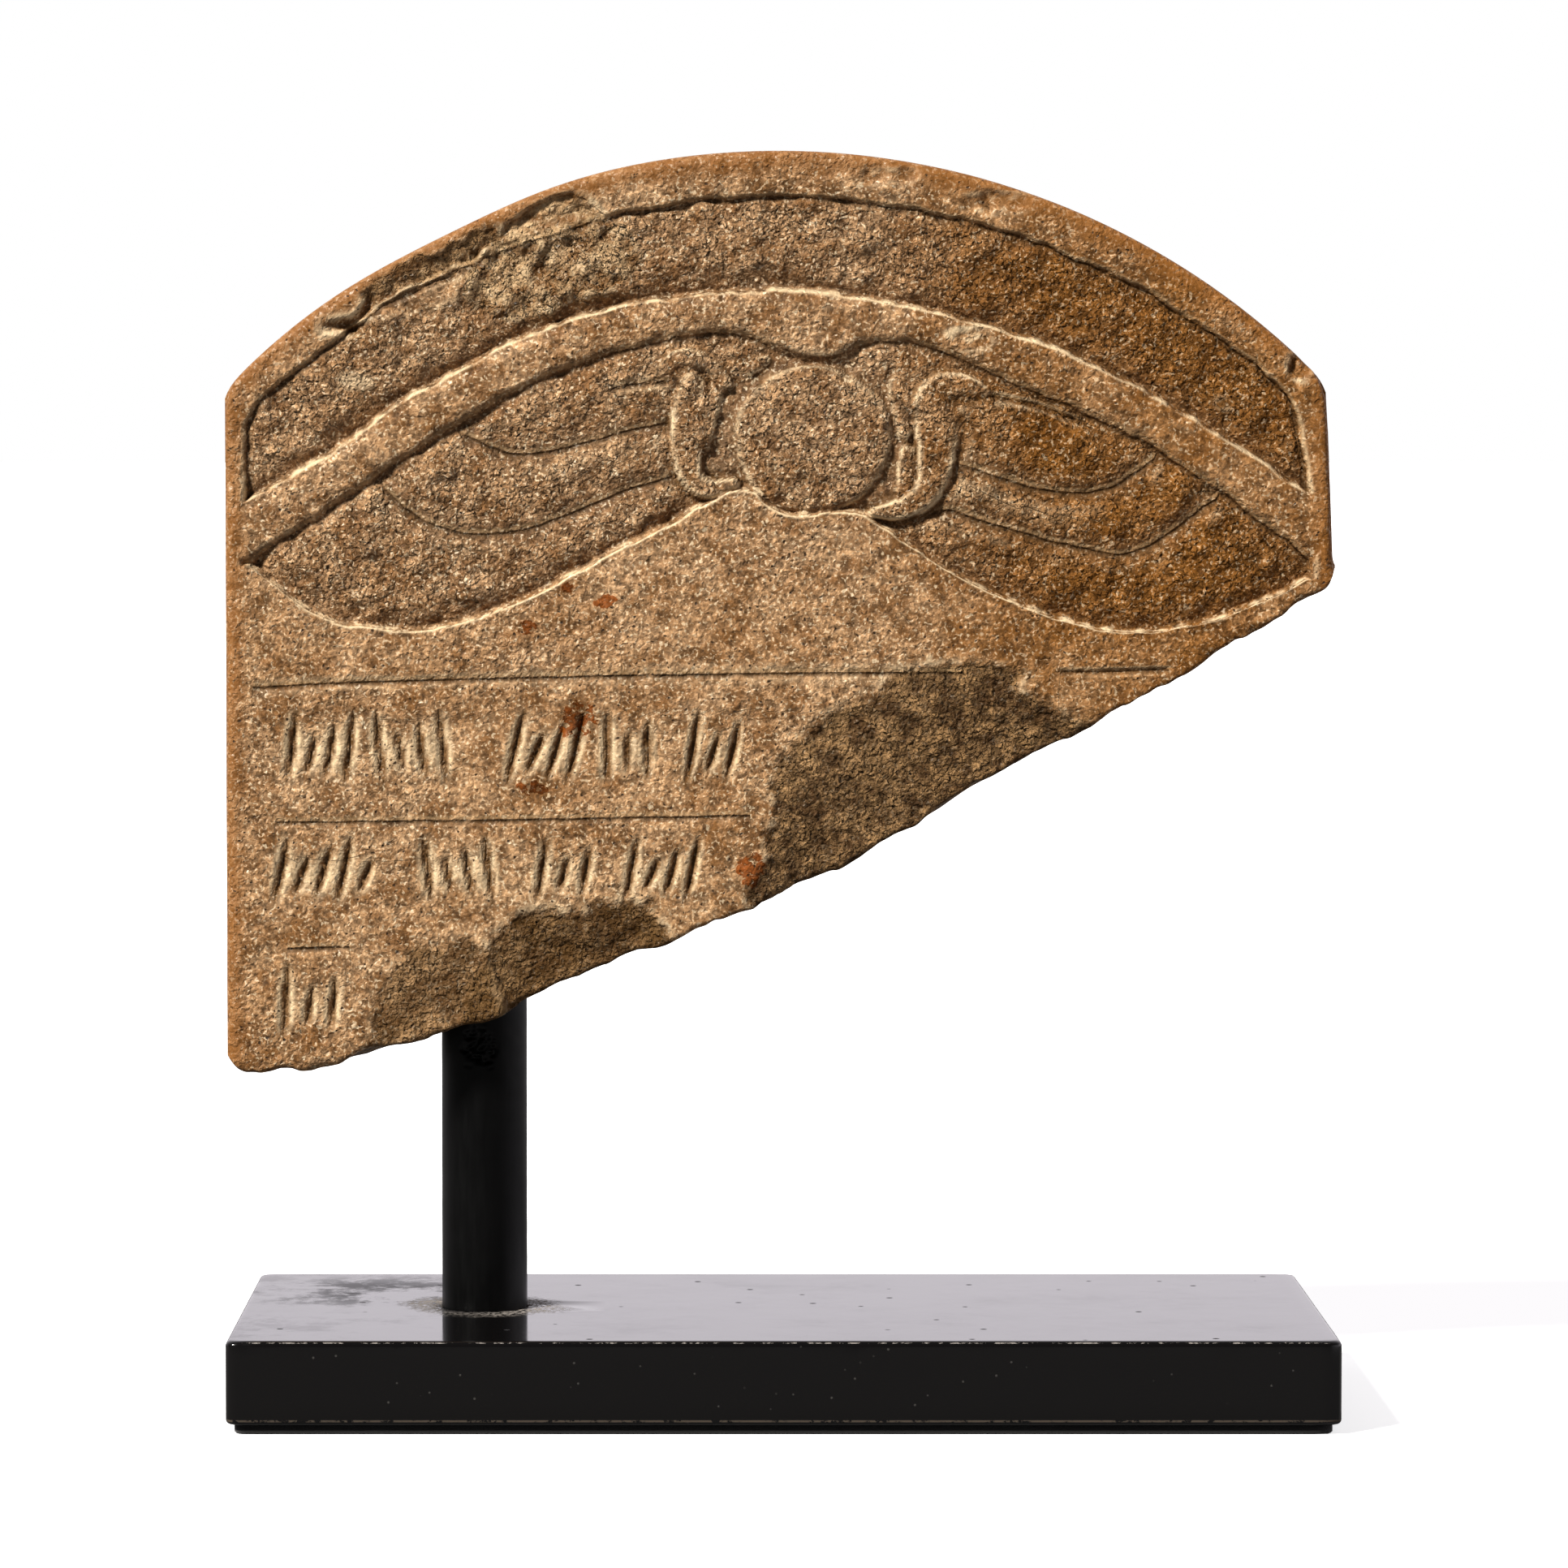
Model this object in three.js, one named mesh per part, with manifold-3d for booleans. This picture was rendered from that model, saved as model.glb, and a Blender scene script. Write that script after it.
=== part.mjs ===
import * as THREE from "three";
import { mergeVertices } from "three/addons/utils/BufferGeometryUtils.js";
import Module from "manifold-3d";

// Upper part of a round-topped carved stone stele, broken along a slanting line, held up by a
// round steel rod on a low wooden base. Millimetres, +Z up. The carved face looks along -Y and
// the origin is the centre of the base's underside.

// Base
const baseWidth = 250;
const baseDepth = 119;
const padHeight = 2.2;
const padInset = 1.8;
const padGap = 0.02;
const blockHeight = 19;
const blockCornerRadius = 2.5;
const blockArris = 1.2;
const baseTop = padHeight + blockHeight;

// Rod
const rodX = -68.8;
const rodRadius = 10;
const rodChamfer = 0.6;
const rodSides = 36;
const fitGap = 0.3;
const rodFootDepth = 12;
const rodTop = 128;

// Stone slab
const slabThickness = 45;
const arris = 2.6;
const frontY = -slabThickness / 2;
const leftX = -127;
const rightX = 126.2;
const archCentreX = -0.9;
const archRadius = 173.5;
const archTopZ = 288.2;
const shoulderWear = { x: -78, reach: 24, depth: 1.7 };
const topCorner = 3;
const sideEndZ = 60;
const lineStep = 4.4;
const strokeStep = 16;
const bodyStep = 2.5;

// Carving
const rimWidth = 10.5;
const panelDepth = 1.6;
const panelRoofX = [-115.1, 114.8];
const wallSlope = 0.75;
const wallOvershoot = 0.6;
const cutAbove = 0.5;
const underlap = 1;
const bodyWall = 0.7;
const bodyTop = 0.2;
const wingTipX = 118;
const wingRootLeftX = -22;
const wingRootRightX = 34;
const middleLeftX = -30;
const middleRightX = 45;
const featherDepths = [1.0, 1.5, 2.1];
const discCentre = [7.0, 222.7];
const discRadius = 17.6;
const discSunk = 0.3;
const discDome = 0.8;
const discMoatRadius = 20.6;
const lineWidth = 1.5;
const lineDepth = 0.8;

// Corners of the slab and of the sunk panel as [x, z], going up on the left and down on the right
const leftShoulder = [[leftX, 232], [-126.2, 235.2]];
const rightShoulder = [[123.8, 233], [124.6, 219], [rightX, 196]];
const panelLeftSide = [[-122.1, 209.5], [-122.1, 226.5], [-120.5, 230.8]];
const panelRightSide = [[118, 231.5], [119.8, 221.4], [120.4, 211]];

// Curves of the carved face as [x, z], left to right unless a comment says otherwise
const bandTop = [
  [-122, 208.1], [-104.2, 218.6], [-85.7, 231.1], [-59.8, 245], [-30.3, 253.5], [3.9, 256.2],
  [32.5, 251.5], [62, 242.8], [99, 223.8], [119.6, 209.6],
];
const bandLowLeft = [
  [-121.6, 194.4], [-104.2, 206.2], [-82, 221], [-59.8, 233.9], [-37.6, 242.6], [-11.8, 246.3],
  [8.6, 240.6],
];
const bandLowRight = [
  [9.8, 240.6], [25.1, 245.3], [54.7, 234.8], [88, 218.8], [110.2, 202.9], [119.6, 195.9],
];
const wingLowLeft = [
  [-7.2, 210.9], [-34, 197.9], [-59.9, 185], [-82.1, 178.9], [-104.3, 181.8], [-121.6, 193.2],
];
const discSeat = [[18.7, 204.9], [14.1, 206.2], [3, 205.3], [-2.6, 207.2]];
const wingLowRight = [
  [119.6, 190.4], [99.2, 181.6], [81, 178.8], [62.2, 181.7], [40, 191.5], [19.5, 204.5],
];
const featherUpLeft = [[-75, 224.5], [-59.8, 219.7], [-39.5, 223.8], [-23.5, 227.5]];
const featherLowLeft = [[-92.7, 213.6], [-80.2, 203.7], [-63.6, 201.6], [-34, 211.8], [-22, 215.5]];
const featherUpRight = [[40.3, 217.3], [62.1, 211], [74, 211.4], [86.8, 219.9]];
const featherLowRight = [[38, 207], [65.8, 198.7], [79, 197.2], [100.4, 210.3]];
const snakeLeft = [
  [-11.8, 239], [-18.6, 243.2], [-26.6, 242], [-28.8, 238.8], [-24.2, 235.8], [-25.1, 224.7],
  [-21.6, 213], [-16, 208.4], [-10.6, 210.6], [-15.6, 214.8], [-17.4, 222], [-14.2, 232],
];
const snakeRight = [
  [46, 234], [39.5, 238.2], [32.4, 236], [29, 229.3], [30.8, 218], [28.6, 210.8], [20.8, 206.6],
  [27, 203], [33.6, 205.4], [39.2, 213.6], [40.8, 222], [39.8, 231],
];
const breakLine = [
  [-134, 92], [-126.9, 82.6], [-123, 79.3], [-109.2, 78.3], [-92.6, 82.2], [-67.4, 90.9],
  [-42.6, 101.8], [-9.2, 114.6], [24.1, 131.1], [57.4, 150.7], [90.8, 168.7], [115.6, 183.6],
  [124.1, 188.4], [126.4, 194], [134, 213],
];
const registerLines = [
  [[-121.9, 166.4], [-89.5, 167.8], [-15.5, 169.4], [42, 169.8]],
  [[62.2, 169.8], [89.5, 170.4]],
  [[-117.4, 135.5], [-48.8, 136.4], [-6.2, 137.2]],
  [[-114.7, 106.7], [-97.1, 107.1]],
];

// Rows of plain chisel strokes: x where a group starts, lowest z, height, number, spacing, lean
const strokeRows = [
  { height: 17, base: 144, groups: [[-113, 4, 4.4, 2], [-91, 4, 4.8, -2], [-63, 4, 4.6, 4],
    [-40, 3, 4.6, 0], [-22, 3, 4.6, 3]] },
  { height: 15, base: 117, groups: [[-116, 5, 4.8, 3], [-80, 4, 4.6, -2], [-56, 3, 5, 2],
    [-36, 4, 4.6, 3]] },
  { height: 17, base: 86, groups: [[-114, 3, 5.4, 1]] },
];
const strokeWidth = 2;
const strokeDepth = 0.9;

// Broken underside: how uneven it is, and how far its edges along both faces are worn up, then the
// block that takes the lost part away: its length, what it clears of both faces and its lowest z
const breakRoughness = 0.8;
const edgeWear = 1.8;
const edgeReach = 1.6;
const lostLength = 264;
const lostMargin = 1.5;
const lostLowZ = 40;
const lostColumns = 52;
const lostRows = 9;

// Flakes and scars: centre x and z, half length, half height, depth of the scoop, turn in degrees
const scars = [
  [30, 146, 46, 15, 5, 31],
  [62, 163, 24, 9, 3.5, 25],
  [-36, 104, 26, 8, 4, 22],
  [-78, 92, 17, 7, 2.5, 24],
  [-66, 257, 17, 9.5, 2.6, 34],
  [-52, 248, 11, 7, 2.2, 10],
  [-103, 247, 8, 4, 2.2, 42],
  [27, 282, 12, 3.2, 1.6, -10],
  [118.5, 238.5, 5.5, 3.5, 2.6, -50],
];

const wasm = await Module();
wasm.setup();

// Turns a closed three.js geometry into a solid that can be joined and cut
function solidFrom(geometry) {
  const bare = geometry.clone();
  bare.deleteAttribute("normal");
  bare.deleteAttribute("uv");
  const merged = mergeVertices(bare, 1e-4);
  return new wasm.Manifold(new wasm.Mesh({
    numProp: 3,
    vertProperties: new Float32Array(merged.attributes.position.array),
    triVerts: new Uint32Array(merged.index.array),
  }));
}

// Turns a cut solid back into a geometry
function geometryFrom(solid) {
  const mesh = solid.getMesh();
  const geometry = new THREE.BufferGeometry();
  geometry.setAttribute("position", new THREE.BufferAttribute(mesh.vertProperties, 3));
  geometry.setIndex(new THREE.BufferAttribute(mesh.triVerts, 1));
  geometry.computeVertexNormals();
  return geometry;
}

// Points at even steps along a smooth curve through the named [x, z] pairs
function along(pairs, step = lineStep) {
  const stops = pairs.map(([x, z]) => new THREE.Vector3(x, z, 0));
  const curve = new THREE.CatmullRomCurve3(stops, false, "centripetal");
  const count = Math.max(2, Math.ceil(curve.getLength() / step));
  return curve.getSpacedPoints(count).map((point) => new THREE.Vector2(point.x, point.y));
}

// Height of a left-to-right curve at x
function heightOn(points, x) {
  const after = points.findIndex((point) => point.x > x);
  const from = points[Math.max(0, after - 1)];
  const to = points[Math.max(1, after)];
  return THREE.MathUtils.mapLinear(x, from.x, to.x, from.y, to.y);
}

// Height of the arch at x, lowered by drop, with the worn left shoulder
function archHeight(x, drop, wear) {
  const fromCentre = x - archCentreX;
  const round = Math.sqrt(archRadius ** 2 - fromCentre ** 2) - archRadius;
  const worn = wear * Math.exp(-(((x - shoulderWear.x) / shoulderWear.reach) ** 2));
  return archTopZ - drop + round - worn;
}

// Points on the arch from one x to another
function archPoints(fromX, toX, drop, wear) {
  const count = Math.ceil(Math.abs(toX - fromX) / lineStep);
  return Array.from({ length: count + 1 }, (_, i) => {
    const x = THREE.MathUtils.lerp(fromX, toX, i / count);
    return new THREE.Vector2(x, archHeight(x, drop, wear));
  });
}

// Prism of an outline in the face's plane, from the given y towards the viewer, whose walls lean
// outwards by lean over the first rise millimetres
function facePrism(points, y, length, rise, lean, inset) {
  const geometry = new THREE.ExtrudeGeometry(new THREE.Shape(points), {
    depth: length - 2 * rise,
    steps: 1,
    bevelEnabled: rise > 0,
    bevelThickness: rise,
    bevelSize: lean,
    bevelOffset: inset,
    bevelSegments: 1,
  });
  geometry.translate(0, 0, rise);
  geometry.rotateX(Math.PI / 2);
  geometry.translate(0, y, 0);
  return solidFrom(geometry);
}

// Cutter that sinks an outline into the face by depth, with leaning walls
function sinking(points, depth, inset = 0) {
  const rise = depth + wallOvershoot;
  return facePrism(points, frontY + depth, 3 * rise, rise, wallSlope * rise, -inset - wallSlope * rise / 2);
}

// Body left standing in a sunk area: wide at the bottom, narrower at the top
function standing(points, depth, top) {
  const base = depth + underlap;
  return facePrism(points, frontY + base, base - top, bodyWall, bodyWall, -bodyWall);
}

// Tapering V-shaped cut along face points, widest and deepest in the middle or all along
function chiselCut(points, width, depth, taper) {
  const last = points.length - 1;
  const vertices = [];
  points.forEach((point, i) => {
    const before = points[Math.max(0, i - 1)];
    const after = points[Math.min(last, i + 1)];
    const side = new THREE.Vector2().subVectors(after, before).normalize();
    const share = 1 - taper * Math.abs(2 * i / last - 1) ** 2;
    const sunk = depth * share;
    const half = 0.5 * width * share * (sunk + cutAbove) / sunk;
    vertices.push(point.x - side.y * half, frontY - cutAbove, point.y + side.x * half);
    vertices.push(point.x + side.y * half, frontY - cutAbove, point.y - side.x * half);
    vertices.push(point.x, frontY + sunk, point.y);
  });
  const faces = [0, 2, 1, 3 * last, 3 * last + 1, 3 * last + 2];
  for (let i = 0; i < last; i += 1) {
    for (let k = 0; k < 3; k += 1) {
      const a = 3 * i + k;
      const b = 3 * i + (k + 1) % 3;
      faces.push(a, b, b + 3, a, b + 3, a + 3);
    }
  }
  const geometry = new THREE.BufferGeometry();
  geometry.setAttribute("position", new THREE.Float32BufferAttribute(vertices, 3));
  geometry.setIndex(faces);
  return solidFrom(geometry);
}

// Lumps of broken stone: a smooth uneven height of about one millimetre either way
function lumps(x, y) {
  return 0.8 * Math.sin(x / 3.1 + 0.9 * Math.sin(y / 5)) + 0.6 * Math.sin(x / 7.3 + y / 4.7)
    + 0.5 * Math.sin(y / 2.9 - x / 11);
}

// The part of the slab that broke away: everything below the break
function lostPart() {
  const line = along(breakLine, 1);
  const depth = slabThickness + 2 * lostMargin;
  const geometry = new THREE.BoxGeometry(lostLength, depth, 1, lostColumns, lostRows, 1);
  const place = geometry.attributes.position;
  for (let i = 0; i < place.count; i += 1) {
    const x = place.getX(i);
    const y = place.getY(i);
    const toFace = Math.max(0, slabThickness / 2 - Math.abs(y));
    const worn = edgeWear * Math.exp(-toFace / edgeReach);
    const upper = heightOn(line, x) + breakRoughness * lumps(x, y) + worn;
    place.setZ(i, place.getZ(i) > 0 ? upper : lostLowZ);
  }
  return solidFrom(geometry);
}

// A flake's hollow: a flattened lumpy ball that grazes the carved face
function scoop([x, z, halfLength, halfHeight, depth, turn]) {
  const geometry = new THREE.IcosahedronGeometry(1, halfLength > 12 ? 4 : 2);
  const place = geometry.attributes.position;
  for (let i = 0; i < place.count; i += 1) {
    const u = place.getX(i) * halfLength;
    const w = place.getZ(i) * halfHeight;
    const uneven = 1 + 0.16 * Math.sin(u / 2.7 + x) * Math.cos(w / 2.3);
    place.setXYZ(i, u * uneven, place.getY(i) * 2 * depth * uneven, w * uneven);
  }
  geometry.rotateY(-THREE.MathUtils.degToRad(turn));
  geometry.translate(x, frontY - depth, z);
  return solidFrom(geometry);
}

const asPoints = (pairs) => pairs.map(([x, z]) => new THREE.Vector2(x, z));

// Outline of the whole slab before it broke, going round clockwise
function slabOutline() {
  return [
    new THREE.Vector2(leftX, sideEndZ),
    ...asPoints(leftShoulder),
    ...archPoints(leftX + topCorner, rightX - topCorner, 0, shoulderWear.depth),
    ...asPoints(rightShoulder),
    new THREE.Vector2(rightX, sideEndZ),
  ];
}

// Sunk field between the rim and the arched band
function panelCut() {
  const [roofLeft, roofRight] = panelRoofX;
  return sinking([
    ...asPoints(panelLeftSide),
    ...archPoints(roofLeft, roofRight, rimWidth, 0),
    ...asPoints(panelRightSide),
    ...along(bandTop).reverse(),
  ], panelDepth);
}

// Points of a line between two values of x
const between = (points, fromX, toX) => points.filter((point) => point.x > fromX && point.x < toX);

// Sunk wings in three layers of feathers, each lower than the one above it
function wingsCut() {
  const bandLeft = along(bandLowLeft);
  const bandRight = along(bandLowRight);
  const lowLeft = along(wingLowLeft);
  const lowRight = along(wingLowRight);
  const whole = [...bandLeft, ...bandRight, ...lowRight, ...along(discSeat), ...lowLeft];
  const layers = [sinking(whole, featherDepths[0])];
  const feathers = [
    { left: featherUpLeft, right: featherUpRight, depth: featherDepths[1], inset: 0.4 },
    { left: featherLowLeft, right: featherLowRight, depth: featherDepths[2], inset: 0.8 },
  ];
  feathers.forEach(({ left, right, depth, inset }) => {
    const [tipLeftX] = left[0];
    const [tipRightX] = right[right.length - 1];
    const leftField = [
      ...between(bandLeft, -wingTipX, tipLeftX - 1), ...along(left),
      ...between(lowLeft, -wingTipX, wingRootLeftX),
    ];
    const rightField = [
      ...along(right), ...between(bandRight, tipRightX + 1, wingTipX),
      ...between(lowRight, wingRootRightX, wingTipX),
    ];
    layers.push(sinking(leftField, depth, inset), sinking(rightField, depth, inset));
  });
  const moatPoints = new THREE.Path().absarc(...discCentre, discMoatRadius, 0, 2 * Math.PI, true)
    .getSpacedPoints(40).slice(1);
  const middle = [
    ...between(bandLeft, middleLeftX, 7), ...between(bandRight, 11, middleRightX),
    ...between(lowRight, 22, middleRightX), ...along(discSeat), ...between(lowLeft, middleLeftX, -9),
  ];
  const moat = sinking(moatPoints, featherDepths[1]).intersect(sinking(middle, featherDepths[2], 0.4));
  return wasm.Manifold.union([...layers, moat]);
}

// Domed disc between the wings
function disc() {
  const floorY = featherDepths[1] + underlap;
  const profile = [
    [0, -floorY], [discRadius + 1, -floorY], [discRadius, -discSunk - discDome],
    [discRadius - 1.6, -discSunk - 0.5 * discDome], [discRadius * 0.6, -discSunk - 0.15 * discDome],
    [0, -discSunk],
  ].map(([radius, height]) => new THREE.Vector2(radius, height));
  const geometry = new THREE.LatheGeometry(profile, 36);
  geometry.rotateX(Math.PI);
  geometry.translate(discCentre[0], frontY, discCentre[1]);
  return solidFrom(geometry);
}

// One group of side-by-side chisel strokes, their lengths differing a little
function strokeGroup([startX, number, spacing, lean], base, height) {
  return Array.from({ length: number }, (_, i) => {
    const shorter = 0.16 * height * ((i * 2) % 3);
    const x = startX + i * spacing;
    return chiselCut(along([
      [x, base + shorter * 0.5],
      [x + lean * 0.55, base + height * 0.5],
      [x + lean, base + height - shorter],
    ]), strokeWidth, strokeDepth, 0.8);
  });
}

// Drilled hole for the rod between two heights
function rodSocket(bottom, top) {
  const radius = rodRadius + fitGap;
  const geometry = new THREE.CylinderGeometry(radius, radius, top - bottom, rodSides);
  geometry.rotateX(Math.PI / 2);
  geometry.translate(rodX, 0, (bottom + top) / 2);
  return solidFrom(geometry);
}

// The stone: slab, carving, chips, break and rod socket
function steleSolid() {
  const whole = slabOutline();
  const slabGeometry = new THREE.ExtrudeGeometry(new THREE.Shape(whole), {
    depth: slabThickness - 2 * arris,
    bevelEnabled: true,
    bevelThickness: arris,
    bevelSize: arris,
    bevelOffset: -arris,
    bevelSegments: 3,
  });
  slabGeometry.rotateX(Math.PI / 2);
  slabGeometry.translate(0, slabThickness / 2 - arris, 0);
  const slab = solidFrom(slabGeometry);
  const reliefCut = panelCut().add(
    wingsCut().subtract(disc())
      .subtract(standing(along(snakeLeft, bodyStep).slice(0, -1), featherDepths[2], bodyTop))
      .subtract(standing(along(snakeRight, bodyStep).slice(0, -1), featherDepths[2], bodyTop)),
  );
  const lines = registerLines.map((line) => chiselCut(along(line, strokeStep), lineWidth, lineDepth, 0.5));
  const strokes = strokeRows.flatMap(({ groups, base, height }) => (
    groups.flatMap((group) => strokeGroup(group, base, height))
  ));
  const socketTop = rodTop + fitGap;
  const cutters = wasm.Manifold.union([
    reliefCut, ...lines, ...strokes, ...scars.map(scoop), lostPart(), rodSocket(lostLowZ, socketTop),
  ]);
  return slab.subtract(cutters);
}

// Rounded rectangle centred on the origin
function roundedRectangle(width, depth, radius) {
  const x = width / 2 - radius;
  const y = depth / 2 - radius;
  const shape = new THREE.Shape();
  shape.absarc(x, y, radius, 0, Math.PI / 2, false);
  shape.absarc(-x, y, radius, Math.PI / 2, Math.PI, false);
  shape.absarc(-x, -y, radius, Math.PI, 1.5 * Math.PI, false);
  shape.absarc(x, -y, radius, 1.5 * Math.PI, 2 * Math.PI, false);
  return shape;
}

// Block with eased arrises and the hole that the rod's foot stands in
function blockSolid() {
  const body = new THREE.ExtrudeGeometry(roundedRectangle(baseWidth, baseDepth, blockCornerRadius), {
    depth: blockHeight - 2 * blockArris,
    curveSegments: 4,
    bevelEnabled: true,
    bevelThickness: blockArris,
    bevelSize: blockArris,
    bevelOffset: -blockArris,
    bevelSegments: 2,
  });
  body.translate(0, 0, padHeight + blockArris);
  return solidFrom(body).subtract(rodSocket(baseTop - rodFootDepth - fitGap, baseTop + underlap));
}

// Round bar with small chamfers, turned about its own axis
function rodGeometry() {
  const bottom = baseTop - rodFootDepth;
  const profile = [
    [0, bottom], [rodRadius - rodChamfer, bottom], [rodRadius, bottom + rodChamfer],
    [rodRadius, rodTop - rodChamfer], [rodRadius - rodChamfer, rodTop], [0, rodTop],
  ].map(([radius, height]) => new THREE.Vector2(radius, height));
  const geometry = new THREE.LatheGeometry(profile, rodSides);
  geometry.rotateX(Math.PI / 2);
  return geometry;
}

// Thin pad under the block, a little smaller than it
function padGeometry() {
  const outline = roundedRectangle(baseWidth - 2 * padInset, baseDepth - 2 * padInset, blockCornerRadius);
  return new THREE.ExtrudeGeometry(outline, {
    depth: padHeight - padGap,
    bevelEnabled: false,
    curveSegments: 4,
  });
}

const sandstone = new THREE.MeshStandardMaterial({ color: 0xa5825a, roughness: 0.9, metalness: 0 });
const blackPaint = new THREE.MeshStandardMaterial({ color: 0x151413, roughness: 0.45, metalness: 0 });
const blackLacquer = new THREE.MeshStandardMaterial({ color: 0x141210, roughness: 0.2, metalness: 0 });
const blackFelt = new THREE.MeshStandardMaterial({ color: 0x0c0c0c, roughness: 1, metalness: 0 });

function addPiece(name, geometry, material) {
  const mesh = new THREE.Mesh(geometry, material);
  mesh.name = name;
  return mesh;
}

const object = new THREE.Group();
object.add(addPiece("stele", geometryFrom(steleSolid()), sandstone));
const rod = addPiece("support_rod", rodGeometry(), blackPaint);
rod.position.set(rodX, 0, 0);
object.add(rod);
object.add(addPiece("base_block", geometryFrom(blockSolid()), blackLacquer));
object.add(addPiece("base_pad", padGeometry(), blackFelt));

export default object;
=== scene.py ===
import math
import bpy
import numpy as np
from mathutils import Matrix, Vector


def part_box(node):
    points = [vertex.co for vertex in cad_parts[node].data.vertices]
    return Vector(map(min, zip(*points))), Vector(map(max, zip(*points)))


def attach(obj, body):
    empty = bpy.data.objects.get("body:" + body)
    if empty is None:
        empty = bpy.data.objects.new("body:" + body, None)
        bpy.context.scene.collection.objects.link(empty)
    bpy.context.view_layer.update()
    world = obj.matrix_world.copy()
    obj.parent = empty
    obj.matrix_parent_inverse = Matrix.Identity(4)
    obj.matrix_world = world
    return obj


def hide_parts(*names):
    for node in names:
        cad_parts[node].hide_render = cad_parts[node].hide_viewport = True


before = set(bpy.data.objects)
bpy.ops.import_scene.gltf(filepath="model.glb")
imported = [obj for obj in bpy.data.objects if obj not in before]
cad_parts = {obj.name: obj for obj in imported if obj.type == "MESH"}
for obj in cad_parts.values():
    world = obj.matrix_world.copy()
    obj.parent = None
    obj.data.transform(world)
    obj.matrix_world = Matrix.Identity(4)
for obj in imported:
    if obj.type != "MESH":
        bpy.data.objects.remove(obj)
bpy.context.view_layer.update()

# Felt pad
# A thin sheet of black pressed felt glued under the block so that it doesn't scratch a shelf. It
# is set in a little from the block's edges, so it shows as a dark line between block and table.
PAD_EDGE = 0.4e-3
PAD_MIDDLE_RADIUS = 1e-3
BLOCK_CORNER = 2.5e-3
OUTLINE_STEPS = 720


def rounded_outline(low, high, radius, turn):
    """Points of a rounded rectangle seen from a centre: for each angle the ray is cut with the
    straight sides, and inside a corner square with the circle of the corner's radius."""
    half = (np.array(high) - np.array(low)) / 2
    middle = (np.array(high) + np.array(low)) / 2
    ray = np.stack([np.cos(turn), np.sin(turn)], 1)
    side = np.where(ray < 0, -1, 1)
    start = np.array([turn_centre_x, 0.0]) - middle
    reach = ((side * half - start) / np.where(np.abs(ray) < 1e-9, side * 1e-9, ray)).min(1)
    point = start + ray * reach[:, None]
    core = half - radius
    over = np.abs(point) > core
    corner = over.all(1)
    centre = np.sign(point) * core
    away = start - centre
    along = (away * ray).sum(1)
    to_circle = -along + np.sqrt(np.maximum(along**2 - (away**2).sum(1) + radius**2, 0))
    point = np.where(corner[:, None], start + ray * to_circle[:, None], point)
    return point + middle


def circle_ring(radius, z):
    """Ring of points round the rod's axis at height z."""
    return np.column_stack([
        turn_centre_x + radius * np.cos(turns), radius * np.sin(turns), np.full(OUTLINE_STEPS, z)])


def outline_ring(low, high, inset, z):
    """Ring of points on a box's rounded outline, drawn in by inset, at height z."""
    edge = rounded_outline(
        (low.x + inset, low.y + inset), (high.x - inset, high.y - inset), BLOCK_CORNER, turns)
    return np.column_stack([edge, np.full(OUTLINE_STEPS, z)])


def rings_mesh(name, rings):
    """A closed mesh from rings of equal length, each joined to the next by quads; the first and
    last rings are closed by a fan to their middle."""
    count, steps = len(rings), len(rings[0])
    points = np.concatenate([rings[0].mean(0)[None], *rings, rings[-1].mean(0)[None]])
    this, row = np.arange(steps), np.arange(count - 1)[:, None] * steps
    after = (this + 1) % steps
    quads = np.stack([row + this, row + after, row + steps + after, row + steps + this], -1) + 1
    first = np.stack([np.zeros(steps, int), 1 + after, 1 + this], -1)
    top = 1 + (count - 1) * steps
    last = np.stack([np.full(steps, len(points) - 1), top + this, top + after], -1)
    faces = [*quads.reshape(-1, 4).tolist(), *first.tolist(), *last.tolist()]
    return mesh_object(name, points, faces)


def mesh_object(name, points, faces):
    """A smooth-shaded mesh object in the scene."""
    mesh = bpy.data.meshes.new(name)
    mesh.from_pydata(points.tolist(), [], faces)
    mesh.shade_smooth()
    piece = bpy.data.objects.new(name, mesh)
    bpy.context.scene.collection.objects.link(piece)
    return piece


def linear(code):
    """Linear colour of an sRGB hex code: each channel over 0.04045 is ((c + 0.055) / 1.055) ** 2.4."""
    c = np.array([int(code[i:i + 2], 16) / 255 for i in (1, 3, 5)])
    c = np.where(c > 0.04045, ((c + 0.055) / 1.055) ** 2.4, c / 12.92)
    return (*c.tolist(), 1.0)


def set_inputs(node, inputs):
    """Sets a node's sockets, by name or number: each to a value, or linked to an output."""
    for key, value in inputs.items():
        if isinstance(value, bpy.types.NodeSocket):
            node.id_data.links.new(value, node.inputs[key])
        else:
            node.inputs[key].default_value = value


def add_node(tree, kind, inputs=None, stops=None, **settings):
    """Adds a node. stops are a colour ramp's places and hex colours or grey values."""
    made = tree.nodes.new(kind)
    for key, value in settings.items():
        setattr(made, key, value)
    set_inputs(made, inputs or {})
    if stops:
        elements = made.color_ramp.elements
        while len(elements) < len(stops):
            elements.new(0.5)
        for element, (position, shade) in zip(elements, stops):
            element.position = position
            element.color = linear(shade) if isinstance(shade, str) else (shade, shade, shade, 1)
    return made


def new_material(name):
    """An empty node material with its Principled shader and its output, and Object coordinates."""
    material = bpy.data.materials.new(name)
    material.use_nodes = True
    tree = material.node_tree
    tree.nodes.clear()
    shader = add_node(tree, "ShaderNodeBsdfPrincipled")
    add_node(tree, "ShaderNodeOutputMaterial", {"Surface": shader.outputs[0]})
    place = add_node(tree, "ShaderNodeTexCoord").outputs["Object"]
    return material, tree, shader, place


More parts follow.
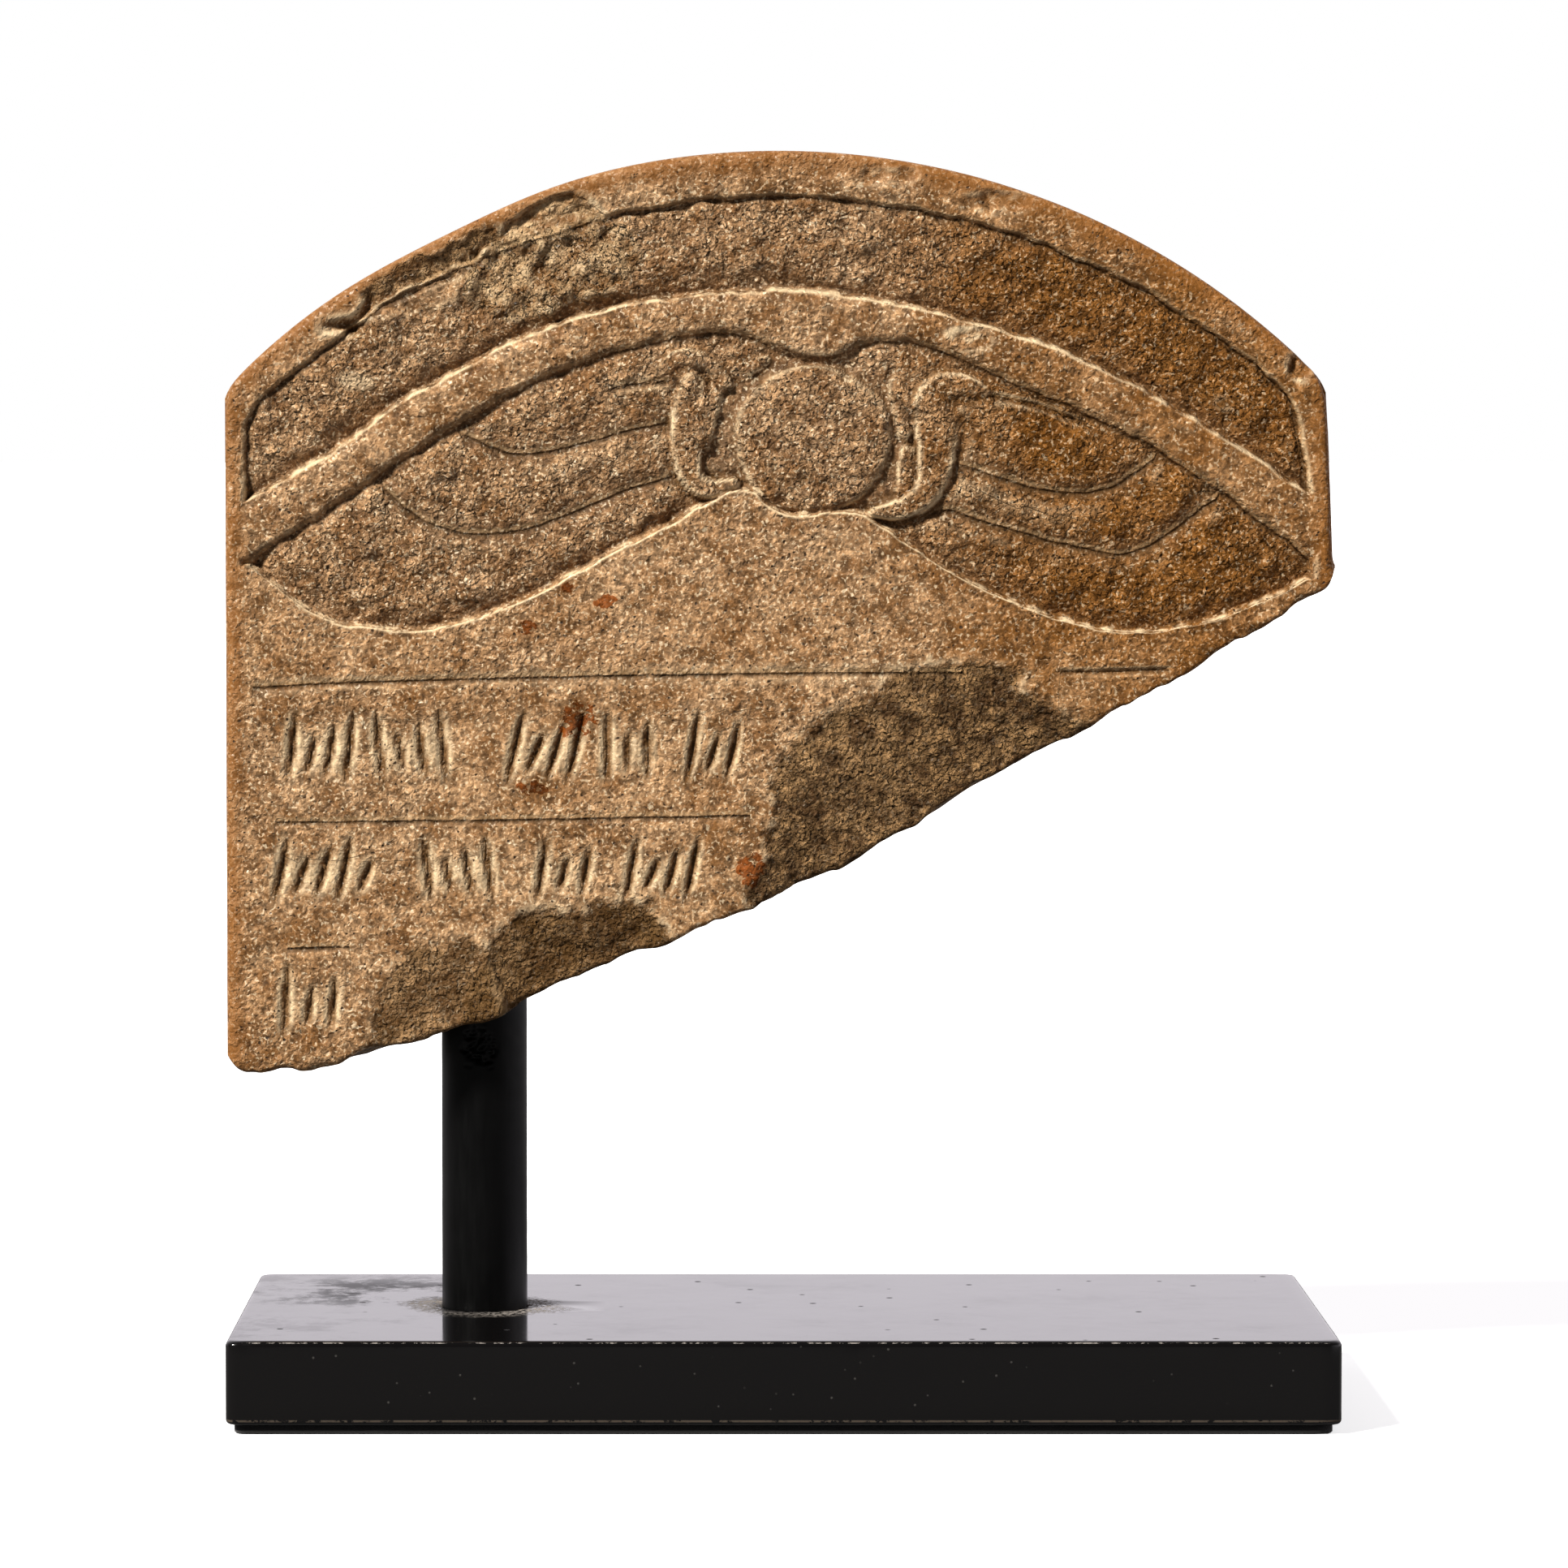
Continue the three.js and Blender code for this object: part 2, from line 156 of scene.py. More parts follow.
# The node helpers from here on add to the material in hand, in tree, and place holds its Object
# coordinates.
def ramp(value, *stops):
    """Output of a colour ramp on a value."""
    return add_node(tree, "ShaderNodeValToRGB", {0: value}, stops).outputs[0]


def mixed(amount, first, second, blend="MIX"):
    """Output of a colour mix; colours are sRGB hex codes or outputs, amount a value or output."""
    first, second = (linear(c) if isinstance(c, str) else c for c in (first, second))
    inputs = {0: amount, 6: first, 7: second}
    return add_node(tree, "ShaderNodeMix", inputs, data_type="RGBA", blend_type=blend).outputs[2]


def computed(operation, *values, clamp=False):
    """Output of a sum on values or outputs."""
    inputs = dict(enumerate(values))
    return add_node(tree, "ShaderNodeMath", inputs, operation=operation, use_clamp=clamp).outputs[0]


def times(first, second):
    """Output of one value times another."""
    return computed("MULTIPLY", first, second)


def scaled(value, factor, offset):
    """Output of a value times a factor, plus an offset."""
    return computed("MULTIPLY_ADD", value, factor, offset)


def greatest(*values):
    """Output of the greatest of several values."""
    result = values[0]
    for value in values[1:]:
        result = computed("MAXIMUM", result, value)
    return result


def mapped(value, low, high, start=0.0, end=1.0):
    """Output of a value's range low to high turned into start to end."""
    inputs = {"Value": value, "From Min": low, "From Max": high, "To Min": start, "To Max": end}
    return add_node(tree, "ShaderNodeMapRange", inputs).outputs[0]


def noise(scale, detail, rough=0.5, vector=None):
    """Output of a noise texture with so many cells in a metre."""
    inputs = {"Vector": vector or place, "Scale": scale, "Detail": detail, "Roughness": rough}
    return add_node(tree, "ShaderNodeTexNoise", inputs).outputs[0]


def cells(scale, vector=None):
    """A node of scattered cells, so many in a metre."""
    inputs = {"Vector": vector or place, "Scale": scale, "Randomness": 1}
    return add_node(tree, "ShaderNodeTexVoronoi", inputs)


def dots(scale, rim, chosen, vector=None):
    """Output that is 1 on round dots in some cells: rim gives where a dot's edge starts and ends,
    as a share of its cell, and chosen which of the cells' random values bear a dot."""
    node = cells(scale, vector)
    dot = ramp(node.outputs["Distance"], (rim[0], 1.0), (rim[1], 0.0))
    return times(dot, ramp(node.outputs["Color"], (chosen[0], 0.0), (chosen[1], 1.0)))


def distance_to(point):
    """Output of the distance from the surface to a fixed point."""
    inputs = {0: place, 1: point}
    return add_node(tree, "ShaderNodeVectorMath", inputs, operation="DISTANCE").outputs["Value"]


def bumped(height, distance, strength=1.0, over=None):
    """Output of a bump from a height; over is the coarser bump that it lies on."""
    inputs = {"Height": height, "Distance": distance, "Strength": strength}
    if over:
        inputs["Normal"] = over
    return add_node(tree, "ShaderNodeBump", inputs).outputs[0]


rod_low, rod_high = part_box("support_rod")
turn_centre_x = (rod_low.x + rod_high.x) / 2
turns = np.linspace(0, 2 * math.pi, OUTLINE_STEPS, endpoint=False)
pad_low, pad_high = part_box("base_pad")
pad_rings = [circle_ring(PAD_MIDDLE_RADIUS, pad_low.z)]
for inset, z in [(PAD_EDGE, pad_low.z), (0, pad_low.z + PAD_EDGE), (0, pad_high.z)]:
    pad_rings.append(outline_ring(pad_low, pad_high, inset, z))
felt_pad = rings_mesh("felt_pad", pad_rings)

# Pressed wool felt: short matted fibres about 0.3 mm thick, quite without gloss.
felt, tree, shader, place = new_material("black_wool_felt")
fibres = noise(2600, 4)
set_inputs(shader, {
    "Base Color": ramp(fibres, (0.3, "#0a0a0a"), (0.75, "#1c1b1b")),
    "Roughness": 0.95,
    "Sheen Weight": 0.3,
    "Normal": bumped(fibres, 2e-4, 0.6),
})
felt_pad.data.materials.append(felt)
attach(felt_pad, "root")
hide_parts("base_pad")

# Base block
# A block of close-grained wood, its arrises eased, sprayed with black lacquer and polished. The
# rod is set in a hole bored near the left end, and the edges are worn and chipped by handling.
BLOCK_ARRIS = 1.2e-3
HOLE_GAP = 0.3e-3
ARRIS_STEPS = 7
TOP_SHARES = (0.1, 0.4, 0.75, 0.985)
FLANK_SHARES = (0.25, 0.5, 0.75)
# Chips in the arrises: the noise's cell, the level over which it chips, the depth it is scaled by,
# and the x and y beyond which a ring's points are on the block's ends and sides
CHIP_CELL_MM = 1.6
CHIP_LEVEL = 0.55
CHIP_DEPTH = 0.25e-3
CHIPPED_FROM = (0.12, 0.055)
SMUDGE_PLACE = (-0.092, 0.024)
block_low, block_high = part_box("base_block")
rod_radius = (rod_high.x - rod_low.x) / 2
hole_floor = rod_low.z - HOLE_GAP


def lattice_noise(x, y, z, cell, seed):
    """Smooth noise from -1 to 1: random values on a grid of cells, eased between the grid points
    by 3t^2 - 2t^3 in each direction."""
    table = np.random.RandomState(seed).uniform(-1, 1, 4096)
    parts = []
    for value in np.broadcast_arrays(x, y, z):
        in_cells = np.asarray(value, float) / cell
        whole = np.floor(in_cells).astype(np.int64)
        share = in_cells - whole
        parts.append((whole, share * share * (3 - 2 * share)))
    (x_whole, _), (y_whole, _), (z_whole, _) = parts
    total = 0
    for i in (0, 1):
        for j in (0, 1):
            for k in (0, 1):
                corner = (x_whole + i) * 73856093 ^ (y_whole + j) * 19349663 ^ (z_whole + k) * 83492791
                weight = 1
                for (_, share), side in zip(parts, (i, j, k)):
                    weight = weight * (share if side else 1 - share)
                total = total + weight * table[corner % 4096]
    return total


def blend(first, second, share):
    """The first value turned into the second by a share of 0 to 1."""
    return first * (1 - share) + second * share


def ease(low, high, value):
    """Smooth step from 0 at low to 1 at high: 3t^2 - 2t^3."""
    t = np.clip((value - low) / (high - low), 0, 1)
    return t * t * (3 - 2 * t)


quarter = np.linspace(0, math.pi / 2, ARRIS_STEPS)
flank = block_high.z - block_low.z - 2 * BLOCK_ARRIS
levels = [
    (BLOCK_ARRIS * (1 - math.sin(bend)), block_high.z - BLOCK_ARRIS * (1 - math.cos(bend)))
    for bend in quarter]
levels += [(0, block_high.z - BLOCK_ARRIS - share * flank) for share in FLANK_SHARES]
levels += [
    (BLOCK_ARRIS * (1 - math.cos(bend)), block_low.z + BLOCK_ARRIS * (1 - math.sin(bend)))
    for bend in quarter]
block_rings = [circle_ring(rod_radius + HOLE_GAP, z) for z in (hole_floor, block_high.z)]
top_edge = outline_ring(block_low, block_high, BLOCK_ARRIS, block_high.z)
block_rings += [blend(block_rings[1], top_edge, share) for share in TOP_SHARES]
first_arris_ring = len(block_rings)
block_rings += [outline_ring(block_low, block_high, inset, z) for inset, z in levels]
block_rings.append(blend(block_rings[-1], np.array([turn_centre_x, 0, block_low.z]), 0.95))
for ring in block_rings[first_arris_ring:-1]:
    x, y, z = ring.T * 1e3
    chip = np.maximum(lattice_noise(x, y, z, CHIP_CELL_MM, 5) - CHIP_LEVEL, 0)
    from_arris = np.minimum(z - block_low.z * 1e3, block_high.z * 1e3 - z)
    shrink = CHIP_DEPTH * chip * np.clip(1 - from_arris / (BLOCK_ARRIS * 1e3), 0, 1)
    for axis in (0, 1):
        beyond = np.abs(ring[:, axis]) > CHIPPED_FROM[axis]
        ring[:, axis] -= np.sign(ring[:, axis]) * shrink * beyond
base_block = rings_mesh("lacquered_block", block_rings[::-1])

# Black nitrocellulose lacquer, polished to a gloss: a dark body under a clear even coat that
# mirrors a light wall at a low angle. Dust, fine scratches and rubbed edges dull it in places.
lacquer, tree, shader, place = new_material("black_polished_lacquer")
split = add_node(tree, "ShaderNodeSeparateXYZ", {0: place})
x, y, z = (split.outputs[axis] for axis in "XYZ")
grime = noise(45, 6, 0.65)
fine = noise(900, 3)
on_top = mapped(z, block_high.z - 0.8e-3, block_high.z - 0.2e-3)
# Dust ring round the rod's foot
foot_way = scaled(grime, -0.018, distance_to((turn_centre_x, 0, block_high.z)))
ring_dust = times(mapped(foot_way, 0.0025, 0.011, 1.0, 0.0), ramp(fine, (0.4, 0.0), (0.6, 1.0)))
# Dust specks, as dull dots on the top and pale ones on the sides
speck = dots(130, (0.06, 0.12), (0.62, 0.66))
grit = dots(420, (0.07, 0.14), (0.8, 0.84))
# Broken lines along the front arrises: on the top one pale chips that also paint a highlight on the edge,
# on the bottom one brown wear
chipped = noise(420, 4, 0.7)
upper_chips_and_highlight = times(mapped(z, block_high.z - 0.54e-3, block_high.z - 0.44e-3),
              mapped(y, block_low.y + 0.54e-3, block_low.y + 0.44e-3))
upper_chips_and_highlight = times(upper_chips_and_highlight, ramp(chipped, (0.5, 0.0), (0.62, 1.0)))
lower = times(mapped(z, block_low.z + 1.35e-3, block_low.z + 1.2e-3),
              mapped(z, block_low.z + 0.75e-3, block_low.z + 0.9e-3))
lower = times(lower, ramp(chipped, (0.42, 0.0), (0.5, 1.0)))
body = mixed(ring_dust, "#0a0909", "#8d857c")
body = mixed(times(grit, computed("SUBTRACT", 1.0, on_top)), body, "#3a3836")
# Pale line on the top front arris: chipped lacquer, and a painted highlight on that edge
body = mixed(upper_chips_and_highlight, body, "#7c7670")
body = mixed(times(lower, 0.8), body, "#50463b")
# Smudges, stronger to the left and behind the rod, dull the top unevenly
smudge = ramp(noise(36, 6, 0.75), (0.48, 0.0), (0.6, 1.0))
wiped = mapped(distance_to((*SMUDGE_PLACE, block_high.z)), 0.01, 0.034, 0.3, 0.0)
left_side = computed("ADD", wiped, mapped(x, -0.03, -0.12, 0.03, 0.12))
smear = computed("MULTIPLY_ADD", smudge, left_side, mapped(grime, 0.4, 0.75, 0.07, 0.16))
dull = greatest(ring_dust, times(speck, 0.8), upper_chips_and_highlight, lower)
set_inputs(shader, {
    "Base Color": body,
    "Roughness": computed("ADD", dull, smear, clamp=True),
    "IOR": 1.38,
    "Normal": bumped(noise(120, 2), 2e-5, 0.5),
})
base_block.data.materials.append(lacquer)
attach(base_block, "root")
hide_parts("base_block")

# Support rod
# A straight length of round mild-steel bar, painted satin black by hand, let into the block below
# and into a hole drilled up into the stone. A blister of paint has lifted just under the stone.
ROD_STEPS = 144
ROD_CHAMFER = 0.6e-3
BLISTER_Z = 0.0825
BLISTER_TURN = math.radians(-95)
BLISTER_REACH = (4.4e-3, 5.2e-3)
# Heights of the paint's uneven surface: room for it inside the bar's radius, the blister's lifted
# rim, the pits where it has burst, and the brush marks
PAINT_ROOM, RIM_LIFT, PIT_DEPTH, BRUSH_MARKS = 0.12e-3, 0.15e-3, 0.8e-3, 0.02e-3
rod_turns = np.linspace(0, 2 * math.pi, ROD_STEPS, endpoint=False)
rod_heights = np.concatenate([
    [rod_low.z, rod_low.z + ROD_CHAMFER],
    np.linspace(rod_low.z + 2e-3, 0.072, 40),
    np.linspace(0.0725, 0.093, 60),
    np.linspace(0.094, rod_high.z - ROD_CHAMFER, 12),
    [rod_high.z],
])
rod_radii = np.full(len(rod_heights), rod_radius)
rod_radii[[0, -1]] -= ROD_CHAMFER
turn_grid, height_grid = np.meshgrid(rod_turns, rod_heights)
around = (turn_grid - BLISTER_TURN + math.pi) % (2 * math.pi) - math.pi
blister_way = np.hypot(around * rod_radius / BLISTER_REACH[0], (height_grid - BLISTER_Z) / BLISTER_REACH[1])
around_mm, height_mm = around * 10, height_grid * 1e3
ragged_way = blister_way + 0.3 * lattice_noise(around_mm, height_mm, 0, 1.3, 11)
lifted = np.exp(-(((ragged_way - 0.75) / 0.2) ** 2)) * RIM_LIFT
pitted = -ease(1.05, 0.7, ragged_way) * PIT_DEPTH * (1 + lattice_noise(around_mm, height_mm, 0, 0.8, 12))
brushed = BRUSH_MARKS * lattice_noise(around_mm, height_mm, 0, 2.5, 13)
rod_surface = np.minimum(rod_radii[:, None] - PAINT_ROOM + lifted + pitted + brushed, rod_radius)
rod_rings = [
    np.column_stack([turn_centre_x + r * np.cos(rod_turns), r * np.sin(rod_turns), np.full(ROD_STEPS, z)])
    for r, z in zip(rod_surface, rod_heights)
]
steel_rod = rings_mesh("painted_rod", rod_rings)

# Satin black enamel on steel: a soft broad highlight, slightly brushed along the bar.
rod_paint, tree, shader, place = new_material("satin_black_enamel")
stretched = add_node(tree, "ShaderNodeMapping", {0: place, "Scale": (1, 1, 0.12)}).outputs[0]
strokes = noise(900, 3, vector=stretched)
set_inputs(shader, {
    "Base Color": ramp(noise(70, 5), (0.35, "#020202"), (0.7, "#060606")),
    "Roughness": mapped(strokes, 0.3, 0.7, 0.3, 0.42),
    "IOR": 1.23,
    "Normal": bumped(strokes, 3e-5, 0.5),
})
steel_rod.data.materials.append(rod_paint)
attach(steel_rod, "root")
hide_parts("support_rod")

# Stele
# The top of a round-topped slab of tan sandstone, cut and carved in sunk relief with chisels: a
# rim, an arched band and a winged disc between two cobras, over ruled rows. It broke along a
# slanting line, and its edges, the rim and the lower right of the face are chipped and flaked.
# Sizes in this section are in millimetres, as [x, z] on the face, and are scaled at the end.
stele_low, stele_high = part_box("stele")
LEFT, RIGHT = stele_low.x * 1e3, stele_high.x * 1e3
FACE_Y = stele_low.y * 1e3
ARCH_TOP = stele_high.z * 1e3
ARCH_RADIUS = 173.5
ARCH_CENTRE = -0.9
WORN_SHOULDER = (-78, 24, 1.7)
RIM_WIDTH = 10.5
ARRIS = 2.6
BREAK_ARRIS = 1.6
# Widths of the raised frame left and right of the sunk panel, and the panel's corner radius
FRAME_WIDTHS = (4.8, 5.8)
FRAME_CORNER = 2.5
# Depths of the sunk fields: the middle, then how much more along the two edges
PANEL_DEPTHS = (0.7, 2.4, 0.9)
WING_DEPTHS = (0.45, 1.2, 2.3)
# Depths above and below a feather line
FEATHER_DEPTHS = (1.0, 1.45)
STROKE_DEPTH = 1.7
# Swell of the broken underside
BREAK_SWELL = 0.64
# Distance from a carved line where there is none near, and distance inside a sunk field that the
# broken rim counts as
FAR = 9.0
BROKEN_RECESS = 3
BAND_TOP = [
    (-122, 208.1), (-104.2, 218.6), (-85.7, 231.1), (-59.8, 245), (-30.3, 253.5), (3.9, 256.2),
    (32.5, 251.5), (62, 242.8), (99, 223.8), (119.6, 209.6)]
BAND_LOW = [
    (-121.6, 194.4), (-104.2, 206.2), (-82, 221), (-59.8, 233.9), (-37.6, 242.6), (-11.8, 246.3),
    (9.2, 240.4), (25.1, 245.3), (54.7, 234.8), (88, 218.8), (110.2, 202.9), (119.6, 195.9)]
FIELD_TOP = [
    (-121.6, 193.2), (-104.3, 181.8), (-82.1, 178.9), (-59.9, 185.7), (-34, 199), (-7.2, 211.3),
    (-2.6, 207.2), (3, 205.3), (14.1, 206.2), (18.7, 205), (40, 191.5), (62.2, 181.7),
    (81, 178.8), (99.2, 181.6), (119.6, 190.4)]
# Where the field of the wings ends at both sides
FIELD_ENDS = (-122.6, 120.6)
FEATHER_LINES = [
    [(-75, 224.5), (-59.8, 219.7), (-39.5, 223.8), (-23.5, 227.5)],
    [(-92.7, 213.6), (-80.2, 203.7), (-63.6, 201.6), (-34, 211.8), (-22, 215.5)],
    [(40.3, 217.3), (62.1, 211), (74, 211.4), (86.8, 219.9)],
    [(38, 207), (65.8, 198.7), (79, 197.2), (100.4, 210.3)],
]
DISC_CENTRE = (7.0, 222.7)
DISC_SIZE = (18.2, 17.0)
DISC_REACH = 17.4
MOAT_SHARE = 0.85
MOAT_DEPTH = 2.5
# Rounded bodies as middle lines: x, z and half width of each point, then the body's level, where
# 0 is the face. First the two cobras with hood, coil and head, then the pieces beside them.
# Bodies under RAISED_LEVEL have a ditch beside them, and those under COBRA_LEVEL are widened.
COBRA_LEVEL, RAISED_LEVEL, COBRA_WIDER = 0.2, 0.5, 1.18
BODIES = [
    ([(-20.2, 235.1, 2.5), (-21.2, 229.9, 3.4), (-21.6, 223.7, 3.4), (-21.6, 217.5, 2.8),
      (-20.2, 213.2, 2.2), (-16.2, 211.2, 1.9), (-11.2, 212.4, 1.2)], 0.1),
    ([(-27.6, 238.5, 1.5), (-23.6, 241.3, 1.9), (-19.2, 241, 1.9), (-14.9, 237.9, 1.9),
      (-12.4, 235.1, 1.2)], 0.3),
    ([(-14.7, 235, 1.9), (-16.3, 228, 1.7), (-17.6, 220.6, 1.2)], 0.6),
    ([(47.1, 233, 0.5), (44.3, 234.3, 1.5), (40.6, 235.1, 2.2), (36.3, 234.5, 2.8), (34.2, 231.7, 3.6),
      (34.8, 227.8, 4.5), (35.3, 223.7, 4.4), (35.1, 218.8, 3.7), (34.4, 213.8, 3.2), (32.2, 209.5, 2.8),
      (28.7, 207.3, 2.2), (24.6, 206.4, 1.9), (20.9, 205.8, 0.9)], 0.1),
    ([(26.1, 235.4, 2.2), (27.1, 230, 2.6), (27.9, 224.5, 2.0)], 0.9),
    ([(28.6, 219.6, 2.0), (28.2, 215, 2.3), (27.2, 211.3, 1.6)], 0.9),
    ([(-11.5, 238.6, 1.8), (-7.6, 238.9, 1.9), (-4, 240.6, 1.2)], 0.9),
]
BREAK_LINE = [
    (-134, 92), (-126.9, 82.6), (-123, 79.3), (-109.2, 78.3), (-92.6, 82.2), (-67.4, 90.9),
    (-42.6, 101.8), (-9.2, 114.6), (24.1, 131.1), (57.4, 150.7), (90.8, 168.7), (115.6, 183.6),
    (124.1, 188.4), (126.4, 194), (134, 213)]
RULED_LINES = [
    [(-121.9, 166.4), (-89.5, 167.8), (-15.5, 169.4), (42, 169.8)],
    [(62.2, 169.8), (89.5, 170.4)],
    [(-117.4, 135.5), (-48.8, 136.4), (-6.2, 137.2)],
    [(-114.7, 106.7), (-97.1, 107.1)],
]
# Rows of plain chisel strokes: lowest z, height, then x of each group's start, number, spacing, lean
STROKE_ROWS = [
    (144, 17, [(-113, 4, 4.4, 2), (-91, 4, 4.8, -2), (-63, 4, 4.6, 4), (-40, 3, 4.6, 0), (-22, 3, 4.6, 3)]),
    (117, 15, [(-116, 5, 4.8, 3), (-80, 4, 4.6, -2), (-56, 3, 5, 2), (-36, 4, 4.6, 3)]),
    (86, 17, [(-114, 3, 5.4, 1)]),
]
# Broken areas on the face as outlines: spalls at the break, the rough patch on the rim
SPALLS = [
    [(-3.5, 144.3), (3.9, 154.9), (8.9, 159.5), (25.2, 167.8), (43.7, 172.8), (55.8, 172.1),
     (59.5, 168.8), (55.2, 165.1), (67.8, 159.5), (78, 152), (10, 108), (-8, 114), (-2.6, 135.4)],
    [(-67.4, 109.5), (-60, 114.7), (-48.9, 115.4), (-30.4, 116.6), (-27, 112), (-24, 104),
     (-30, 92), (-60, 80), (-74, 88)],
    [(-91.5, 100.2), (-82.2, 106.7), (-71.1, 109.5), (-65.5, 105.8), (-62, 90), (-80, 78), (-94, 82)],
]
# For each spall its depth inside, its further fall at the break, how broken and how grimy it is
SPALL_LOOKS = [(0.5, 3.2, 1.0, 0.0), (0.7, 2.6, 0.9, 0.9), (0.2, 1.4, 0.7, 0.5)]
ROUGH_PATCHES = [
    [(-72, 259.1), (-72.9, 252.8), (-68.3, 251), (-61.4, 249.1), (-56.1, 250.4), (-47.5, 252.8),
     (-37.8, 256.9), (-32.2, 264), (-35.9, 272), (-43.3, 276.5), (-52.2, 277.5), (-63.1, 273.5)],
    [(-95.5, 256.3), (-92.6, 259.7), (-86.8, 262.1), (-78.7, 265.6), (-72.9, 269), (-67.2, 271.9),
     (-63.7, 272), (-63.7, 268), (-70.7, 262.1), (-74.6, 261), (-78.7, 259.5), (-84.4, 256.9),
     (-90.3, 253.9), (-93.9, 253.5)],
]
# For each patch how crumbly, how pale and how dark it is
PATCH_LOOKS = [(1.8, 1.0, 0.0), (1.0, 0.2, 0.8)]
# Smooth old break between the two rough ones, with a crack along its upper edge
SMOOTH_ISLAND = [
    (-87.9, 255), (-72.9, 260.2), (-72, 259.1), (-72.9, 252.8), (-77.6, 251.2), (-85.9, 249.9),
    (-94.2, 248.4), (-97, 249.3), (-92.4, 252.5)]
CRACKS = [
    [(-88.5, 254.9), (-80.5, 258.1), (-72.9, 260.5)],
    [(-41.1, 233.9), (-32, 235.6), (-24.5, 236.2)],
    [(46.5, 233), (58.5, 230.4), (69.6, 226.2)],
]
# Loose lumps left standing: centre x and z, half length, half width, lean
LUMPS = [(-98.9, 253.2, 5.6, 1.9, 0.6)]
# Fresh pale chips: centre x and z, half width, half height
PALE_CHIPS = [
    (-96, 236, 4.8, 2.4), (-103.7, 248.6, 3.4, 2.8), (42, 246.8, 4.2, 1.3), (33.5, 172.9, 0.8, 0.8),
    (22, 283.6, 8, 1.0), (48, 278.2, 7, 0.9)]
# Small flakes: centre x and z, half width, half height, depth
FLAKES = [
    (20.6, 282.4, 10, 2.6, 1.0), (47.4, 276.6, 8, 2.6, 0.9), (44.1, 245.2, 4.5, 2.4, 0.8),
    (100.6, 230.8, 1.7, 1.2, 1.1), (117.2, 239.5, 3.4, 3.6, 1.6), (-98.9, 247.4, 4.5, 2.4, 1.3),
    (5.2, 213.9, 1.4, 1.3, 0.9),
]
# Iron stains: centre x and z, half width, half height
RUST_SPOTS = [
    (-40.5, 185.8, 3.0, 1.8), (-48.9, 188.7, 1.6, 1.5), (-58.1, 179.9, 2.2, 1.8), (-46.6, 158.6, 4.4, 4.8),
    (-57.2, 143.2, 4.8, 1.5), (-7.2, 124.3, 3.4, 4.0)]


def smooth_line(points, per_span=24):
    """Centripetal Catmull-Rom curve: between two points a cubic whose end slopes come from their
    neighbours, with knots spaced by the square root of the distance."""
    p = np.array(points, float)
    p = np.vstack([2 * p[0] - p[1], p, 2 * p[-1] - p[-2]])
    gap = np.sqrt(np.linalg.norm(np.diff(p, axis=0), axis=1))
    t = np.linspace(0, 1, per_span, endpoint=False)[:, None]
    spans = []
    for i in range(1, len(p) - 2):
        before, here, after = gap[i - 1:i + 2]
        ahead = (p[i + 1] - p[i]) / here
        leave = ((p[i] - p[i - 1]) / before - (p[i + 1] - p[i - 1]) / (before + here) + ahead) * here
        reach = (ahead - (p[i + 2] - p[i]) / (here + after) + (p[i + 2] - p[i + 1]) / after) * here
        spans.append((2 * t**3 - 3 * t**2 + 1) * p[i] + (t**3 - 2 * t**2 + t) * leave
                     + (3 * t**2 - 2 * t**3) * p[i + 1] + (t**3 - t**2) * reach)
    return np.vstack([*spans, p[-2]])


def above(line, x, z):
    """Distance above a left-to-right line, measured square to it: height over the line times the
    cosine of its slope."""
    slope = np.interp(x, line[:, 0], np.gradient(line[:, 1], line[:, 0]))
    return (z - np.interp(x, line[:, 0], line[:, 1])) / np.sqrt(1 + slope**2)


def inside(outline, x, z):
    """Distance inside a closed outline, negative outside: the least distance to its edges, with
    the sign from how many edges a ray to the right crosses."""
    start, end = outline, np.roll(outline, -1, axis=0)
    near = np.full(x.shape, 1e9)
    crossed = np.zeros(x.shape, bool)
    for (x0, z0), (x1, z1) in zip(start, end):
        length = max((x1 - x0) ** 2 + (z1 - z0) ** 2, 1e-12)
        share = np.clip(((x - x0) * (x1 - x0) + (z - z0) * (z1 - z0)) / length, 0, 1)
        near = np.minimum(near, np.hypot(x - x0 - share * (x1 - x0), z - z0 - share * (z1 - z0)))
        if z0 != z1:
            crossed ^= ((z0 > z) != (z1 > z)) & (x < x0 + (z - z0) * (x1 - x0) / (z1 - z0))
    return np.where(crossed, near, -near)


def arch_height(x, drop=0, wear=0):
    """Height of the slab's round top: a circle's arc, lowered by drop and by the worn shoulder."""
    middle, reach, depth = WORN_SHOULDER
    worn = wear * depth * bell(x - middle, reach)
    return ARCH_TOP - ARCH_RADIUS - drop - worn + np.sqrt(ARCH_RADIUS**2 - (x - ARCH_CENTRE) ** 2)


def lumps(x, y):
    """Uneven height of broken stone, about a millimetre either way: three crossed waves."""
    return (0.8 * np.sin(x / 3.1 + 0.9 * np.sin(y / 5)) + 0.6 * np.sin(x / 7.3 + y / 4.7)
            + 0.5 * np.sin(y / 2.9 - x / 11))


line_of = {
    "band_top": smooth_line(BAND_TOP), "band_low": smooth_line(BAND_LOW),
    "field_top": smooth_line(FIELD_TOP), "break": smooth_line(BREAK_LINE)}
feather_of = [smooth_line(line) for line in FEATHER_LINES]
body_of = [(smooth_line(points, 8), level) for points, level in BODIES]
ruled_of = [smooth_line(line) for line in RULED_LINES]
crack_of = [smooth_line(line) for line in CRACKS]


def break_height(x, y):
    """Height of the broken underside at x and depth y."""
    x_line, z_line = line_of["break"].T
    fine = 0.35 * lattice_noise(x, y, 0, 2.2, 21) + 0.5 * lattice_noise(x, y, 0, 5.0, 22)
    return np.interp(x, x_line, z_line) + BREAK_SWELL * lumps(x, y) + fine


